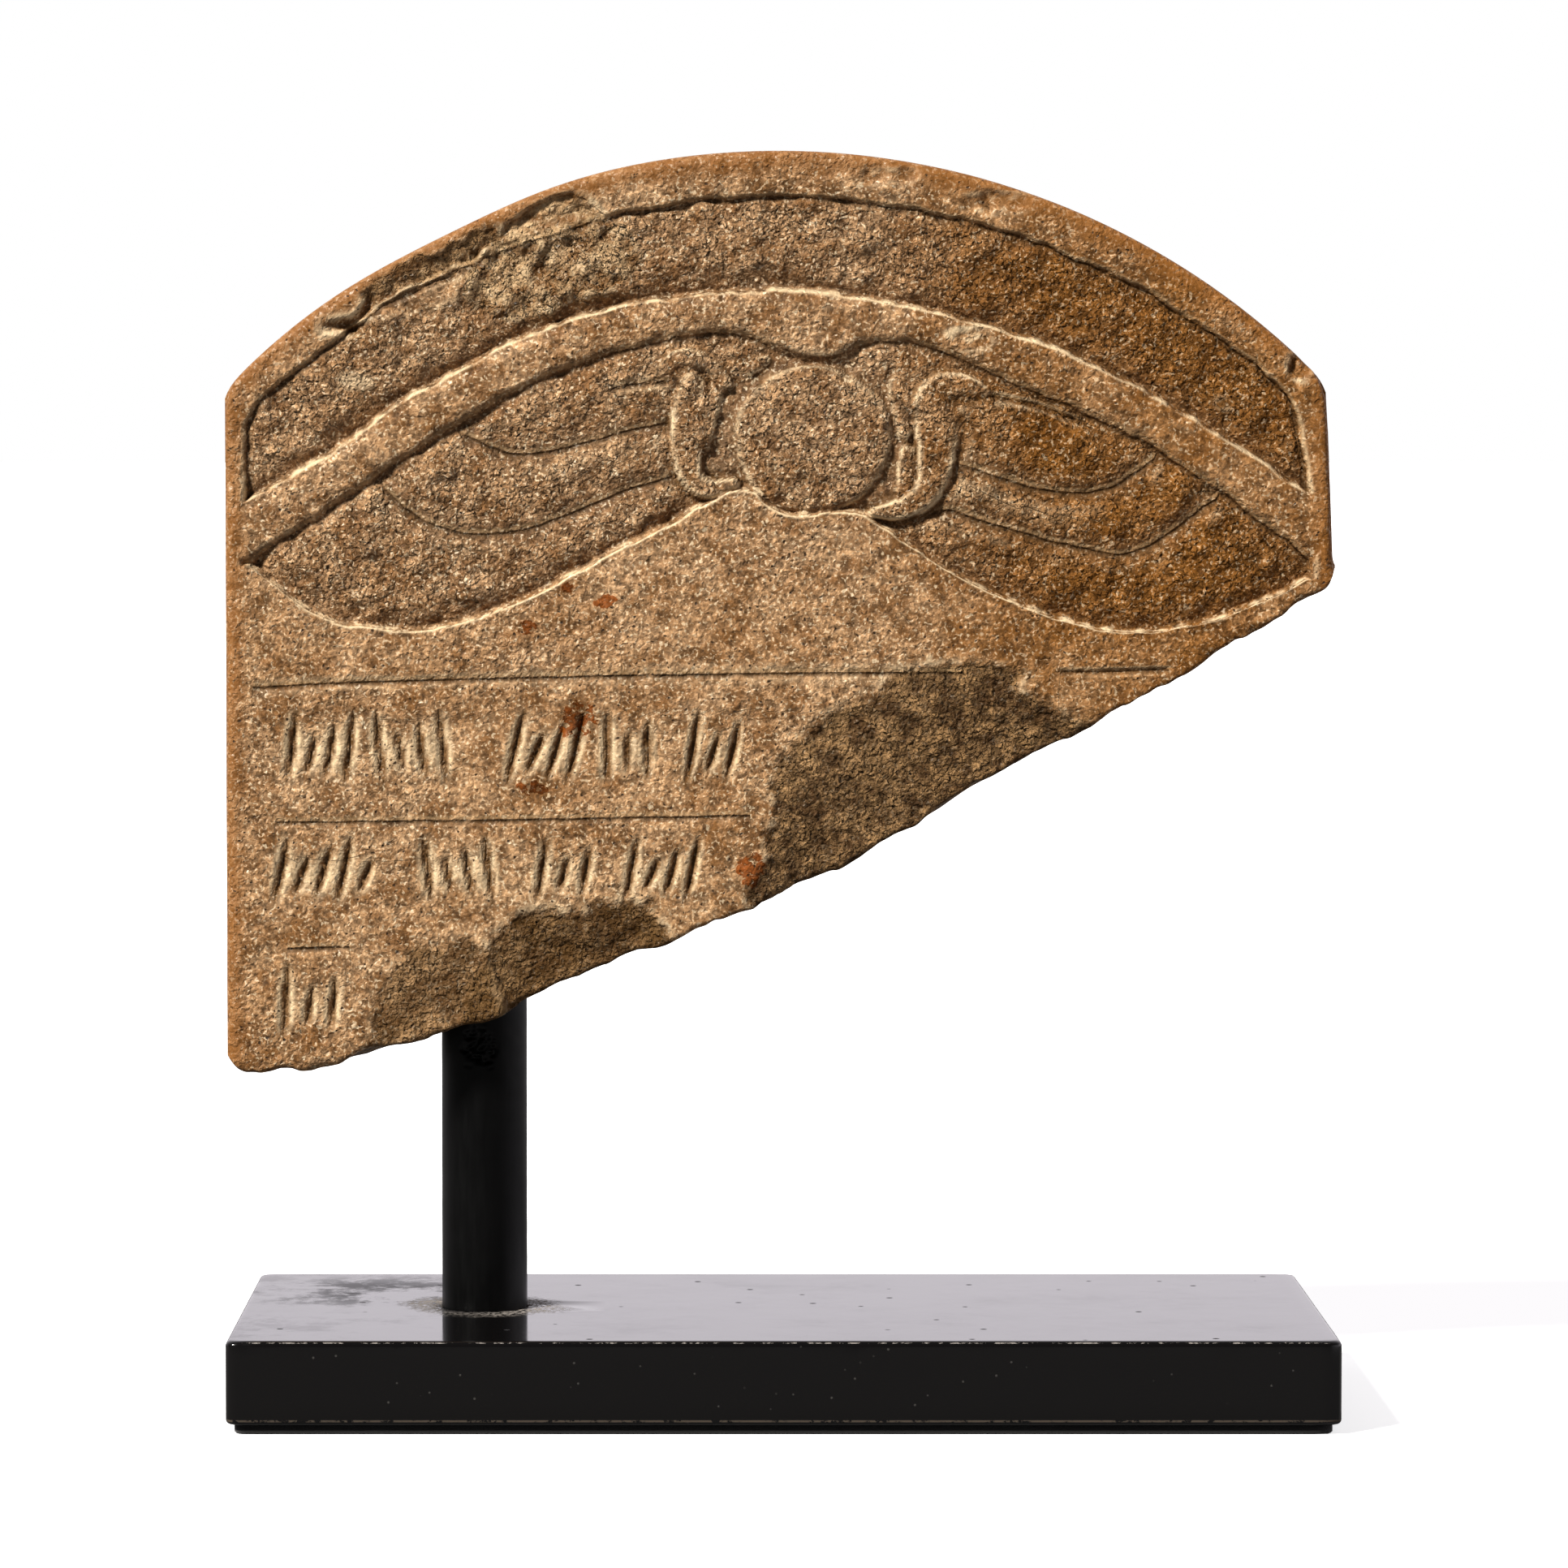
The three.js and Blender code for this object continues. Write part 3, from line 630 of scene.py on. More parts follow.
def nearest(line, x, z):
    """Distance to a line of points, and the third value of the line at the nearest place."""
    near = np.full(x.shape, 1e9)
    value = np.zeros(x.shape)
    for (x0, z0, v0), (x1, z1, v1) in zip(line, line[1:]):
        share = ((x - x0) * (x1 - x0) + (z - z0) * (z1 - z0)) / ((x1 - x0) ** 2 + (z1 - z0) ** 2)
        share = np.clip(share, 0, 1)
        way = np.hypot(x - x0 - share * (x1 - x0), z - z0 - share * (z1 - z0))
        value = np.where(way < near, v0 + share * (v1 - v0), value)
        near = np.minimum(near, way)
    return near, value


def blurred(grid, reach):
    """A grid smoothed over its neighbours with the weights exp(-(n / reach)^2)."""
    steps = np.arange(-int(2.5 * reach), int(2.5 * reach) + 1)
    weight = bell(steps, reach)
    weight /= weight.sum()
    pad = len(steps) // 2
    for axis in (0, 1):
        wide = np.pad(grid, [(pad, pad) if axis == a else (0, 0) for a in (0, 1)], mode="edge")
        grid = np.apply_along_axis(np.convolve, axis, wide, weight, "valid")
    return grid


def faded(distance, reach, power=1.0):
    """1 at a line and behind it, falling off in front of it: exp(-(distance / reach)^power)."""
    return np.exp(-((np.clip(distance, 0, 99) / reach) ** power))


def bell(value, reach):
    """1 where a value is 0, falling off to both sides: exp(-(value / reach)^2)."""
    return np.exp(-((value / reach) ** 2))


def from_middle(x, z, x0, z0, wide, high):
    """Distance from an oval's middle as a share of its half width and half height."""
    return np.hypot((x - x0) / wide, (z - z0) / high)


def carving(x, z):
    """Depth of the face under its first flat plane, and the shares that the material reads. Each
    edge is a smooth step of the distance to its line; layers are added from the top."""
    swirl = 0.45 * lattice_noise(x, z, 0, 6.0, 31) + 0.28 * lattice_noise(x, z, 0, 2.4, 32)

    # Sunk panel between the rim and the band, deepest along both, with rounded corners
    rim_z = arch_height(x, RIM_WIDTH)
    slope = -(x - ARCH_CENTRE) / np.sqrt(ARCH_RADIUS**2 - (x - ARCH_CENTRE) ** 2)
    under_rim = (rim_z - z) / np.sqrt(1 + slope**2) + swirl
    over_band = above(line_of["band_top"], x, z) + swirl
    from_left = x - (LEFT + FRAME_WIDTHS[0]) + swirl
    from_right = (RIGHT - FRAME_WIDTHS[1] - 0.16 * np.clip(z - 210, 0, 40)) - x + swirl
    sides = np.minimum(from_left, from_right)
    corner = FRAME_CORNER - np.hypot(
        np.clip(FRAME_CORNER - sides, 0, None), np.clip(FRAME_CORNER - under_rim, 0, None))
    frame_way = np.minimum(corner, np.minimum(sides, under_rim))
    in_panel = np.minimum(ease(-0.1, 1.4, over_band), ease(-0.7, 0.6, frame_way))
    low_side = faded(over_band, 3.4, 1.4)
    ground, by_band, by_frame = PANEL_DEPTHS
    depth = in_panel * (ground + by_band * low_side + by_frame * faded(frame_way, 3.2, 1.5))
    depth += 0.6 * faded(-frame_way, 2.4) * (1 - in_panel) * ease(-3, 0, over_band)
    # Smooth share: calmer grain, and a greyer, darker colour along the panel's walls that is partly painted
    # shade
    smooth_and_shade = in_panel * (low_side + 0.5 * faded(frame_way, 1.5))
    line_way = np.where(over_band > 0.5, -frame_way, FAR)

    # Field of the wings between the band and the rising ground below, deeper along both
    under_band = swirl + 0.2 - above(line_of["band_low"], x, z)
    over_field = above(line_of["field_top"], x, z) + swirl
    ends = np.minimum(x - FIELD_ENDS[0], FIELD_ENDS[1] - x)
    in_wing = np.minimum(ease(-1.4, 1.4, np.minimum(under_band, ends)), ease(0.0, 1.3, over_field))
    ground, by_band, by_field = WING_DEPTHS
    wing_depth = ground + (by_band + 0.5 * ease(-30, -60, x)) * faded(under_band, 3.7, 2.4)
    wing_depth += by_field * faded(over_field, 3.6, 1.3)
    depth += 0.8 * faded(-under_band, 2.0) * (1 - in_wing) * (over_field > 0) * ease(-2, 1, ends)
    line_way = np.where((np.abs(under_band) < np.abs(line_way)) & (ends > 0), -under_band, line_way)
    near_edge = 0.9 * faded(over_field, 3) + 0.8 * faded(under_band, 1.5)

    # Painted highlight: pale lips along the field's top and the band's top edge, the edges that face the
    # light, broken up by noise
    lit_lip_highlight = bell(over_field - 0.35, 0.75) * ease(-123, -120, x) * ease(121, 118, x)
    lit_lip_highlight += bell(over_band - 0.5, 0.75) * ease(-2, 2, sides)
    lit_lip_highlight *= np.clip(0.55 + 0.9 * lattice_noise(x, z, 0, 5, 65) + 0.5 * lattice_noise(x, z, 0, 1.6, 66), 0, 1)

    # Feather layers: each line is a step with a hollow on both sides, fading out at its outer end
    over_deep, under_deep = FEATHER_DEPTHS
    for line in feather_of:
        is_left = line[-1, 0] < 0
        if is_left:
            within = (x < 0) & (x > line[0, 0] - 1)
            fade = ease(line[0, 0] - 1, line[0, 0] + 5, x)
        else:
            within = (x > 0) & (x < line[-1, 0] + 1)
            fade = ease(line[-1, 0] + 1, line[-1, 0] - 5, x)
        up = above(line, x, z) + 0.7 * swirl
        below = under_deep * faded(-up - 0.3, 3.0, 1.5)
        over = over_deep * faded(up - 0.2, 3.2, 1.4)
        rise = np.where(up < -0.3, below, over + (under_deep - over_deep) * ease(0.3, -0.3, up))
        wing_depth += np.where(within, fade * rise, 0)
        closer = within & (np.abs(up) < np.abs(line_way)) & (fade > 0.3)
        line_way = np.where(closer, up, line_way)
        near_edge += np.where(within, 0.95 * fade * bell(up - 0.2, 2.8), 0)

    # Disc: a slightly uneven round, domed, in a moat that takes over from the wings
    turn = np.arctan2((z - DISC_CENTRE[1]) / DISC_SIZE[1], (x - DISC_CENTRE[0]) / DISC_SIZE[0])
    round_way = from_middle(x, z, *DISC_CENTRE, *DISC_SIZE)
    round_way /= 1 + 0.014 * np.sin(3 * turn + 1) + 0.01 * np.sin(5 * turn)
    outside_disc = (round_way - 1) * DISC_REACH + swirl * 0.6
    moat = MOAT_SHARE * faded(outside_disc, 7.5, 2)
    wing_depth = blend(wing_depth, MOAT_DEPTH, moat)
    near_edge += 0.9 * faded(outside_disc, 5, 2)
    near_edge *= ease(-1.5, 0.8, outside_disc)
    disc_depth = 0.1 + 1.5 * np.clip(round_way, 0, 1) ** 5 + 2.6 * ease(-0.5, 1.1, outside_disc)
    recess = np.minimum(np.minimum(np.minimum(0.5 * under_band, ends), over_field - 0.5), outside_disc)
    wing_depth = np.minimum(wing_depth, disc_depth)
    line_way = np.where(outside_disc < 6, FAR, line_way)

    # Cobras and the pieces beside them: round backs that stand in the field, with a ditch beside
    on_body = np.zeros(x.shape)
    for line, level in body_of:
        way, half_width = nearest(line, x, z)
        if level < COBRA_LEVEL:
            half_width = half_width * COBRA_WIDER
        over_edge = way + 0.35 * swirl
        share = over_edge / half_width
        ditch = 0.45 * bell(way - half_width - 0.7, 1.2) * (level < RAISED_LEVEL)
        back = level + 0.55 * np.clip(share, 0, 1.2) ** 3
        flank = back + 2.4 * ease(0.0, 1.0, (over_edge - half_width) + 0.35)
        wing_depth = np.minimum(wing_depth + ditch, flank)
        near_edge *= ease(0.7, 1.15, share)
        line_way = np.where(way < half_width + 0.8, FAR, line_way)
        on_body = np.maximum(on_body, 0.9 * ease(0.8, 0.5, share))
        if level < RAISED_LEVEL:
            recess = np.minimum(recess, over_edge - half_width)
    depth += in_wing * wing_depth
    # The wings' smooth share along their edges, feather lines and moat: calmer grain, and a darker colour
    # that is partly painted shade
    smooth_and_shade = np.maximum(smooth_and_shade, in_wing * np.clip(near_edge, 0, 1))
    recess = np.maximum(recess, np.minimum(over_band - 0.6, frame_way))

    # Ruled lines and cracks, then the rows of chisel strokes, wedge-shaped and tapering
    for line in ruled_of + crack_of:
        up = above(line, x, z) + 0.25 * swirl
        line_ends = ease(line[0, 0] - 1, line[0, 0] + 3, x) * ease(line[-1, 0] + 1, line[-1, 0] - 3, x)
        line_depth = 0.7 if line[0, 1] > 150 else 0.3
        depth += line_depth * line_ends * np.where(up > 0, ease(0.5, 0, up), ease(-1.5, 0, up))
        line_way = np.where((np.abs(up) < np.abs(line_way)) & (line_ends > 0.5), up, line_way)
    grimy = np.zeros(x.shape)
    for base, height, groups in STROKE_ROWS:
        for start_x, count, spacing, lean in groups:
            for i in range(count):
                shorter = 0.16 * height * ((i * 2) % 3)
                x0, z0 = start_x + i * spacing, base + shorter * 0.5
                x1, z1 = x0 + lean, base + height - shorter
                length = math.hypot(x1 - x0, z1 - z0)
                t = ((x - x0) * (x1 - x0) + (z - z0) * (z1 - z0)) / length**2
                side = ((x - x0) * (z1 - z0) - (z - z0) * (x1 - x0)) / length + 0.25 * swirl
                taper = 1 - np.clip(np.abs(2 * t - 1), 0, 1) ** 3
                wide = 0.35 + 0.6 * taper
                cut = np.where(side < 0, ease(-wide, 0, side), ease(1.5 * wide, 0, side))
                depth += STROKE_DEPTH * taper * cut
                within = np.minimum(wide - np.abs(side - 0.25), length * (0.5 - np.abs(t - 0.5)))
                recess = np.maximum(recess, within)
                grimy = np.maximum(grimy, ease(-0.3, 0.6, within))

    # Spalls at the break, falling away towards it
    scar = np.zeros(x.shape)
    ragged = 1.8 * lattice_noise(x, z, 0, 7, 41) + 1.1 * lattice_noise(x, z, 0, 2.5, 42)
    crumbs = (0.5 * lattice_noise(x, z, 3, 4.5, 43) + 0.35 * lattice_noise(x, z, 5, 2.1, 44)
              + 0.2 * lattice_noise(x, z, 7, 1.2, 45))
    over_break = above(line_of["break"], x, z)
    for outline, (sunk, fall, dark, grime_share) in zip(SPALLS, SPALL_LOOKS):
        way = inside(np.array(outline), x, z) + ragged
        strength = ease(-0.8, 2.4, way)
        floor_depth = sunk + fall * ease(24, 0, over_break) * ease(0, 12, way)
        depth = blend(depth, floor_depth + 0.55 * crumbs + 0.3, strength)
        scar = np.maximum(scar, strength * dark)
        grimy = np.maximum(grimy, grime_share * strength * (0.75 + 0.5 * ragged / 2))
        smooth_and_shade *= 1 - strength

    # Broken rim at upper left: two rough patches, the smooth old break between and a loose lump
    patch = np.zeros(x.shape)
    top_gap = (arch_height(x, 0, 1) - z) / np.sqrt(1 + slope**2)
    patch_floors = (1.3, 0.4 + 0.34 * np.clip(top_gap - 1.6, 0, 6))
    for outline, floor_depth, (crumbly, pale, dark) in zip(ROUGH_PATCHES, patch_floors, PATCH_LOOKS):
        way = inside(np.array(outline), x, z) + 0.8 * ragged
        strength = ease(-0.4, 1.2, way)
        depth = blend(depth, floor_depth + crumbly * crumbs, strength)
        patch = np.maximum(patch, strength * pale)
        scar = np.maximum(scar, strength * dark)
        recess = blend(recess, BROKEN_RECESS, strength)
        smooth_and_shade *= 1 - strength
    island = ease(-0.6, 1.5, inside(np.array(SMOOTH_ISLAND), x, z) + 0.4 * ragged)
    depth = blend(depth, 0.5 + 0.25 * crumbs, island)
    recess = blend(recess, BROKEN_RECESS, island)
    for x0, z0, long, wide, lean in LUMPS:
        u = (x - x0) * math.cos(lean) + (z - z0) * math.sin(lean)
        v = (z - z0) * math.cos(lean) - (x - x0) * math.sin(lean)
        way = np.hypot(u / long, v / wide) + 0.06 * ragged
        gap_below = bell(np.hypot(u / (long + 1), (v + 1.6) / (wide + 1)) - 0.75, 0.35)
        depth = np.maximum(depth, 1.9 * gap_below * ease(0.9, 1.3, way))
        depth = np.where(way < 1.1, np.minimum(depth, 0.1 + 2.2 * ease(0.4, 1.1, way)), depth)
        recess = np.where(way < 1.6, BROKEN_RECESS, recess)

    # Pale chips, small flakes and iron stains
    chip_pale = np.zeros(x.shape)
    for x0, z0, wide, high in PALE_CHIPS:
        way = 1 - from_middle(x, z, x0, z0, wide, high) + 0.35 * ragged
        chip_pale = np.maximum(chip_pale, ease(-0.1, 0.5, way))
    for x0, z0, wide, high, sunk in FLAKES:
        way = 1 - from_middle(x, z, x0, z0, wide, high) + 0.3 * ragged
        depth += sunk * ease(0, 0.7, way) * (0.9 + 1.1 * crumbs)
    rust = np.zeros(x.shape)
    for x0, z0, wide, high in RUST_SPOTS:
        rust = np.maximum(rust, np.clip(1.25 - 0.9 * from_middle(x, z, x0, z0, wide, high), 0, 1))

    # Hand-dressed unevenness over all of it, strongest on the sunk fields
    sharp = depth - blurred(depth, 1.8)
    depth += 0.22 * lattice_noise(x, z, 0, 26, 51) + 0.22
    cut = np.maximum(in_wing, in_panel)
    coarse = (0.38 * lattice_noise(x, z, 0, 7.5, 54) + 0.42 * lattice_noise(x, z, 0, 3.6, 52)
              + 0.26 * lattice_noise(x, z, 0, 2.1, 53))
    depth += coarse * (0.5 + 1.2 * cut) * (1 - 0.65 * np.maximum(scar, smooth_and_shade))
    to_right = ease(12, 62, x)
    patina = blend(0.05 * in_panel, 0.6 + 0.4 * cut, to_right)
    calm = np.clip(0.5 * (1 - cut) + 0.4 * lattice_noise(x, z, 0, 22, 64), 0, 0.8)
    calm = np.maximum(calm, island) * (1 - scar)
    # Painted shade where the surface lies deeper than its surroundings, with grime in the chisel strokes
    # and spalls
    cavity_shade_and_grime = np.clip(np.maximum(sharp / 0.4, 1.7 * grimy), 0, 2)
    # Paler where the surface stands above its surroundings, on the lit lips and on fresh chips: wear and
    # chips, and painted highlight
    ridge_wear_and_highlight = (-sharp / 0.3 - 0.2) * (1 - on_body) + 0.9 * lit_lip_highlight * (1 - scar) + 0.8 * chip_pale
    return np.clip(depth, 0.02, 12), {
        "scar": scar, "rough": patch, "rust": rust, "smooth_and_shade": smooth_and_shade, "patina": patina, "calm": calm,
        "cavity_shade_and_grime": cavity_shade_and_grime, "carved": np.maximum(cut, scar), "line": line_way,
        "recess": np.clip(recess, -4, 4), "ridge_wear_and_highlight": np.clip(ridge_wear_and_highlight, 0, 1)}


# Columns across the face, and rows from the break over the carved lines up to the arch. The back
# has coarser ones, and one column for every COARSE of the front's.
COLUMNS, FRONT_ROWS, BACK_ROWS = 318, (104, 62, 17, 40, 26), (35, 20, 6, 13, 9)
COARSE = 3
SIDE_RINGS = 14
DEEPEST = 9
SLAB_MIDDLE = (0, 0, 185.0)


def columns_at(count, edge_crowding):
    """Values of x across the slab: even steps crowded by a weight at both sides and in the middle."""
    fine = np.linspace(LEFT, RIGHT, 4000)
    middle = np.exp(-(((fine - 9) / 34) ** 4))
    at_sides = bell(fine - LEFT - 3, 3.5) + bell(fine - RIGHT + 3, 3.5)
    weight = 1 + 0.35 * middle + edge_crowding * at_sides
    run = np.concatenate([[0], np.cumsum((weight[1:] + weight[:-1]) / 2)])
    return np.interp(np.linspace(0, run[-1], count + 1), run, fine)


def rows_at(counts, crowding):
    """Row values: each whole number is one of the face's lines, with rows crowded towards it."""
    parts = []
    for number, count in enumerate(counts):
        t = np.arange(count) / count
        parts.append(number + t - crowding * np.sin(2 * math.pi * t) / (2 * math.pi))
    return np.concatenate([*parts, [len(counts)]])


def face_grid(columns, rows, y_break):
    """Points [x, z] of a grid over the slab's outline whose rows run along its carved lines: the
    break, the field's top, the band's two edges, the rim and the arch. The right side leans in
    towards the top and the top corners are rounded."""
    lean = ease(RIGHT - 22, RIGHT, columns)[None, :] * np.clip((rows[:, None] - 1) / 4, 0, 1) * 2.3
    x = columns[None, :] - lean
    low = break_height(x, y_break)
    arch = arch_height(x, 0, 1) - 1.9 * np.exp(-(x - LEFT) / 1.1) - 1.9 * np.exp(-(RIGHT - 2.3 - x) / 1.1)
    knots = [low]
    for line in ("field_top", "band_low", "band_top"):
        knots.append(np.interp(x, *line_of[line].T))
    knots.append(arch_height(x, RIM_WIDTH))
    knots.append(arch)
    for i in range(1, 6):
        knots[i] = np.maximum(knots[i], knots[i - 1] + 0.7)
    knots = np.stack(knots)
    whole = np.minimum(rows.astype(int), 4)
    share = (rows - whole)[:, None]
    take = np.arange(x.shape[1])[None, :]
    start = knots[whole[:, None], np.arange(x.shape[0])[:, None], take]
    end = knots[whole[:, None] + 1, np.arange(x.shape[0])[:, None], take]
    return x, start + (end - start) * share


def arris_drop(distance, radius):
    """How far a quarter-round edge falls back at a distance in from the outline."""
    inner = np.clip(radius - distance, 0, radius)
    return radius - np.sqrt(radius**2 - inner**2)


def edge_drop(x, z, columns_x, low, arch):
    """Fall of the rounded edges all round: quarter rounds on the sides and top, a chipped one at
    the break, whichever falls most."""
    side = np.minimum(x - columns_x[:, :1], columns_x[:, -1:] - x)
    slope = (x - ARCH_CENTRE) / np.sqrt(ARCH_RADIUS**2 - (x - ARCH_CENTRE) ** 2)
    top = (arch - z) / np.sqrt(1 + slope**2)
    bottom = (z - low) * 0.86
    worn = ARRIS + 0.5 * lattice_noise(x, z, 9, 14, 61)
    chips = BREAK_ARRIS + 1.0 * lattice_noise(x, z, 9, 5, 62)
    corner = worn - np.hypot(np.clip(worn - side, 0, None), np.clip(worn - top, 0, None))
    drop = arris_drop(np.clip(np.minimum(corner, np.minimum(side, top)), 0, None), worn)
    return np.maximum(drop, arris_drop(np.clip(bottom, 0, None), np.clip(chips, 0.6, 3)))


front_columns = columns_at(COLUMNS, 0.7)
front_rows = rows_at(FRONT_ROWS, 0.6)
front_edge_y = FACE_Y + ARRIS
x_front, z_front = face_grid(front_columns, front_rows, front_edge_y)
depth, shares = carving(x_front, z_front)
drop = edge_drop(x_front, z_front, x_front, z_front[:1], z_front[-1:])
from_outline = np.minimum(
    np.minimum(x_front - x_front[:, :1], x_front[:, -1:] - x_front), 0.85 * (z_front[-1:] - z_front))
shares["worn"] = ease(6, 1.5, from_outline + 0.8 * lattice_noise(x_front, z_front, 4, 5, 63))
y_front = FACE_Y + np.minimum(np.maximum(depth + 0.6 * drop, drop), DEEPEST)

back_columns = columns_at(COLUMNS // COARSE, 2.5)
back_rows = rows_at(BACK_ROWS, 0.0)
x_back, z_back = face_grid(back_columns, back_rows, -front_edge_y)
drop = edge_drop(x_back, z_back, x_back, z_back[:1], z_back[-1:])
furrows = (x_back * 0.5 + z_back) / 2.6 + 2 * lattice_noise(x_back, z_back, 2, 12, 73)
dressing = (0.6 * lattice_noise(x_back, z_back, 2, 16, 71) + 0.45 * lattice_noise(x_back, z_back, 2, 6, 72)
            + 0.4 * np.abs(np.sin(furrows)))
y_back = -FACE_Y - np.maximum(drop, 1.1 + dressing)


def border(grid):
    """A grid's outer points in one run round it: along the bottom, up the right, back along the
    top and down the left."""
    return np.concatenate([grid[0, :-1], grid[:-1, -1], grid[-1, :0:-1], grid[:0:-1, 0]])


def stacked(*grids):
    """Coordinates side by side, one point a row."""
    return np.stack([grid.ravel() for grid in grids], 1)


rows_front, cols_front = x_front.shape
rows_back, cols_back = x_back.shape
index_front = np.arange(rows_front * cols_front).reshape(rows_front, cols_front)
index_back = np.arange(rows_back * cols_back).reshape(rows_back, cols_back)
rim_front = border(index_front)
rim_back = border(index_back)
front_points = stacked(x_front, y_front, z_front)
back_points = stacked(x_back, y_back, z_back)
ring_a, ring_b = front_points[rim_front[::COARSE]], back_points[rim_back]
bottom_share = np.zeros(len(ring_a))
bottom_share[:cols_back] = 1
side_points = []
for step in range(1, SIDE_RINGS):
    share = step / SIDE_RINGS
    ring = blend(ring_a, ring_b, share)
    swell = math.sin(math.pi * share)
    x, y, z = ring.T
    outward = ring - SLAB_MIDDLE
    outward[:, 1] = 0
    outward /= np.linalg.norm(outward, axis=1)[:, None]
    tooled = np.minimum(0.45 * lattice_noise(x, y, z, 9, 81) + 0.3 * lattice_noise(x, y, z, 4, 82) - 0.4, 0)
    ring = ring + outward * (tooled * swell * (1 - bottom_share))[:, None]
    broken = break_height(x, y)
    ring[:, 2] = np.where(bottom_share > 0, blend(z, broken, swell), ring[:, 2])
    side_points.append(ring)
points = np.concatenate([front_points, *side_points, back_points])


def grid_quads(index):
    """Quads of a grid of point numbers, going round anticlockwise in the grid's own plane."""
    return np.stack([index[:-1, :-1], index[:-1, 1:], index[1:, 1:], index[1:, :-1]], -1).reshape(-1, 4)


start_sides = len(front_points)
ring_size = len(ring_a)
start_back = start_sides + ring_size * (SIDE_RINGS - 1)
ring_numbers = [start_sides + ring_size * i + np.arange(ring_size) for i in range(SIDE_RINGS - 1)]
ring_numbers.append(start_back + rim_back)
faces = [*grid_quads(index_front).tolist(), *(grid_quads(index_back)[:, ::-1] + start_back).tolist()]
first = ring_numbers[0]
fine = rim_front.reshape(-1, COARSE)
fine_next = np.roll(fine[:, 0], -1)
faces += np.column_stack([fine[:, 1], fine[:, 0], first]).tolist()
faces += np.column_stack([fine[:, 2], fine[:, 1], first, np.roll(first, -1)]).tolist()
faces += np.column_stack([fine_next, fine[:, 2], np.roll(first, -1)]).tolist()
for near, far in zip(ring_numbers, ring_numbers[1:]):
    faces += np.column_stack([np.roll(near, -1), near, far, np.roll(far, -1)]).tolist()

stele = mesh_object("carved_stele", points * 1e-3, faces)

# What the material reads at each point: how broken, rough, rusty, smooth, ochre, calm, carved, recessed and
# worn it is, how far it lies from a carved line, where painted shade and grime darken hollows, and where
# raised edges are worn pale or given a painted highlight
side_count = len(points) - start_sides
side_scar = np.concatenate([*[bottom_share] * (SIDE_RINGS - 1), np.zeros(len(back_points))]) * 0.8
side_values = {
    "scar": side_scar, "rough": 0.3, "patina": 0.3, "worn": 0.3,
    "line": FAR, "recess": -4.0, "carved": 0.5}
for label, values in shares.items():
    beyond = np.zeros(side_count) + side_values.get(label, 0.0)
    everywhere = np.concatenate([values.ravel(), beyond]).astype(np.float32)
    stele.data.attributes.new(label, "FLOAT", "POINT").data.foreach_set("value", everywhere)

# Tan sandstone, dressed and worn: quartz grains near a millimetre across in a paler dusty bed,
# stained ochre by iron, with open pits. Cut hollows are smoother and greyer and are darkened as painted
# shade, raised edges are partly rubbed pale and partly given a painted highlight, grains carry painted
# shade and glints, carved lines a painted shadow and highlight, and fresh breaks are darker and softer in
# grain.
sandstone, tree, shader, place = new_material("weathered_tan_sandstone")


def share_of(label):
    """Output of one of the mesh's point attributes."""
    return add_node(tree, "ShaderNodeAttribute", attribute_name=label).outputs["Fac"]


# Grains at several scales; the finest are drawn in coordinates shaken by some tenths of a
# millimetre, so that no texture shows its cells
wobble = add_node(tree, "ShaderNodeTexNoise", {"Vector": place, "Scale": 700, "Detail": 1})
wander = add_node(
    tree, "ShaderNodeVectorMath", {0: wobble.outputs["Color"], 1: (0.0012,) * 3}, operation="MULTIPLY")
shaken = add_node(
    tree, "ShaderNodeVectorMath", {0: place, 1: wander.outputs[0]}, operation="ADD").outputs[0]
grains = noise(1200, 2, vector=shaken)
crumble = noise(500, 3, 0.62, shaken)
blot_share = ramp(noise(170, 6, 0.75), (0.44, 0.0), (0.58, 1.0))
drift_share = ramp(noise(38, 5, 0.65), (0.42, 0.0), (0.62, 1.0))
# Bed colour, from tan to ochre, with brown blots and the smooth cut margins greyer and darker, partly as
# painted shade, then the grains' tones with painted shade in the bump's hollows
ochre_share = computed("MULTIPLY_ADD", share_of("patina"), 0.9, times(drift_share, 0.4), clamp=True)
bed = mixed(ochre_share, "#b69068", "#845625")
bed = mixed(times(blot_share, 0.75), bed, "#673f14")
# Darker, greyer smooth margins: their own smoother surface, and painted shade along walls and feather lines
bed = mixed(times(share_of("smooth_and_shade"), 0.7), bed, "#6e5238")
# Grain tones follow the same noise as the crumbling bump, so its hollows get painted shade and its crests a
# lighter tone
grain_tone_and_pit_shade = ramp(crumble, (0.37, 0.42), (0.5, 0.87), (0.61, 1.28))
bed = mixed(0.85, bed, grain_tone_and_pit_shade, "MULTIPLY")
bed = mixed(0.75, bed, ramp(grains, (0.34, 0.45), (0.48, 0.92), (0.6, 1.2)), "MULTIPLY")
# Pale flecks with painted glints, raised edges pale as wear and as painted highlight, worn outer edges,
# breaks, the rough rim, and painted shade with grime in the hollows
# Pale flecks: pale grains, with painted glints
fleck_and_glint = ramp(grains, (0.57, 0.0), (0.67, 1.0))
bed = mixed(times(fleck_and_glint, scaled(ochre_share, -0.3, 0.62)), bed, "#e8d2ac")
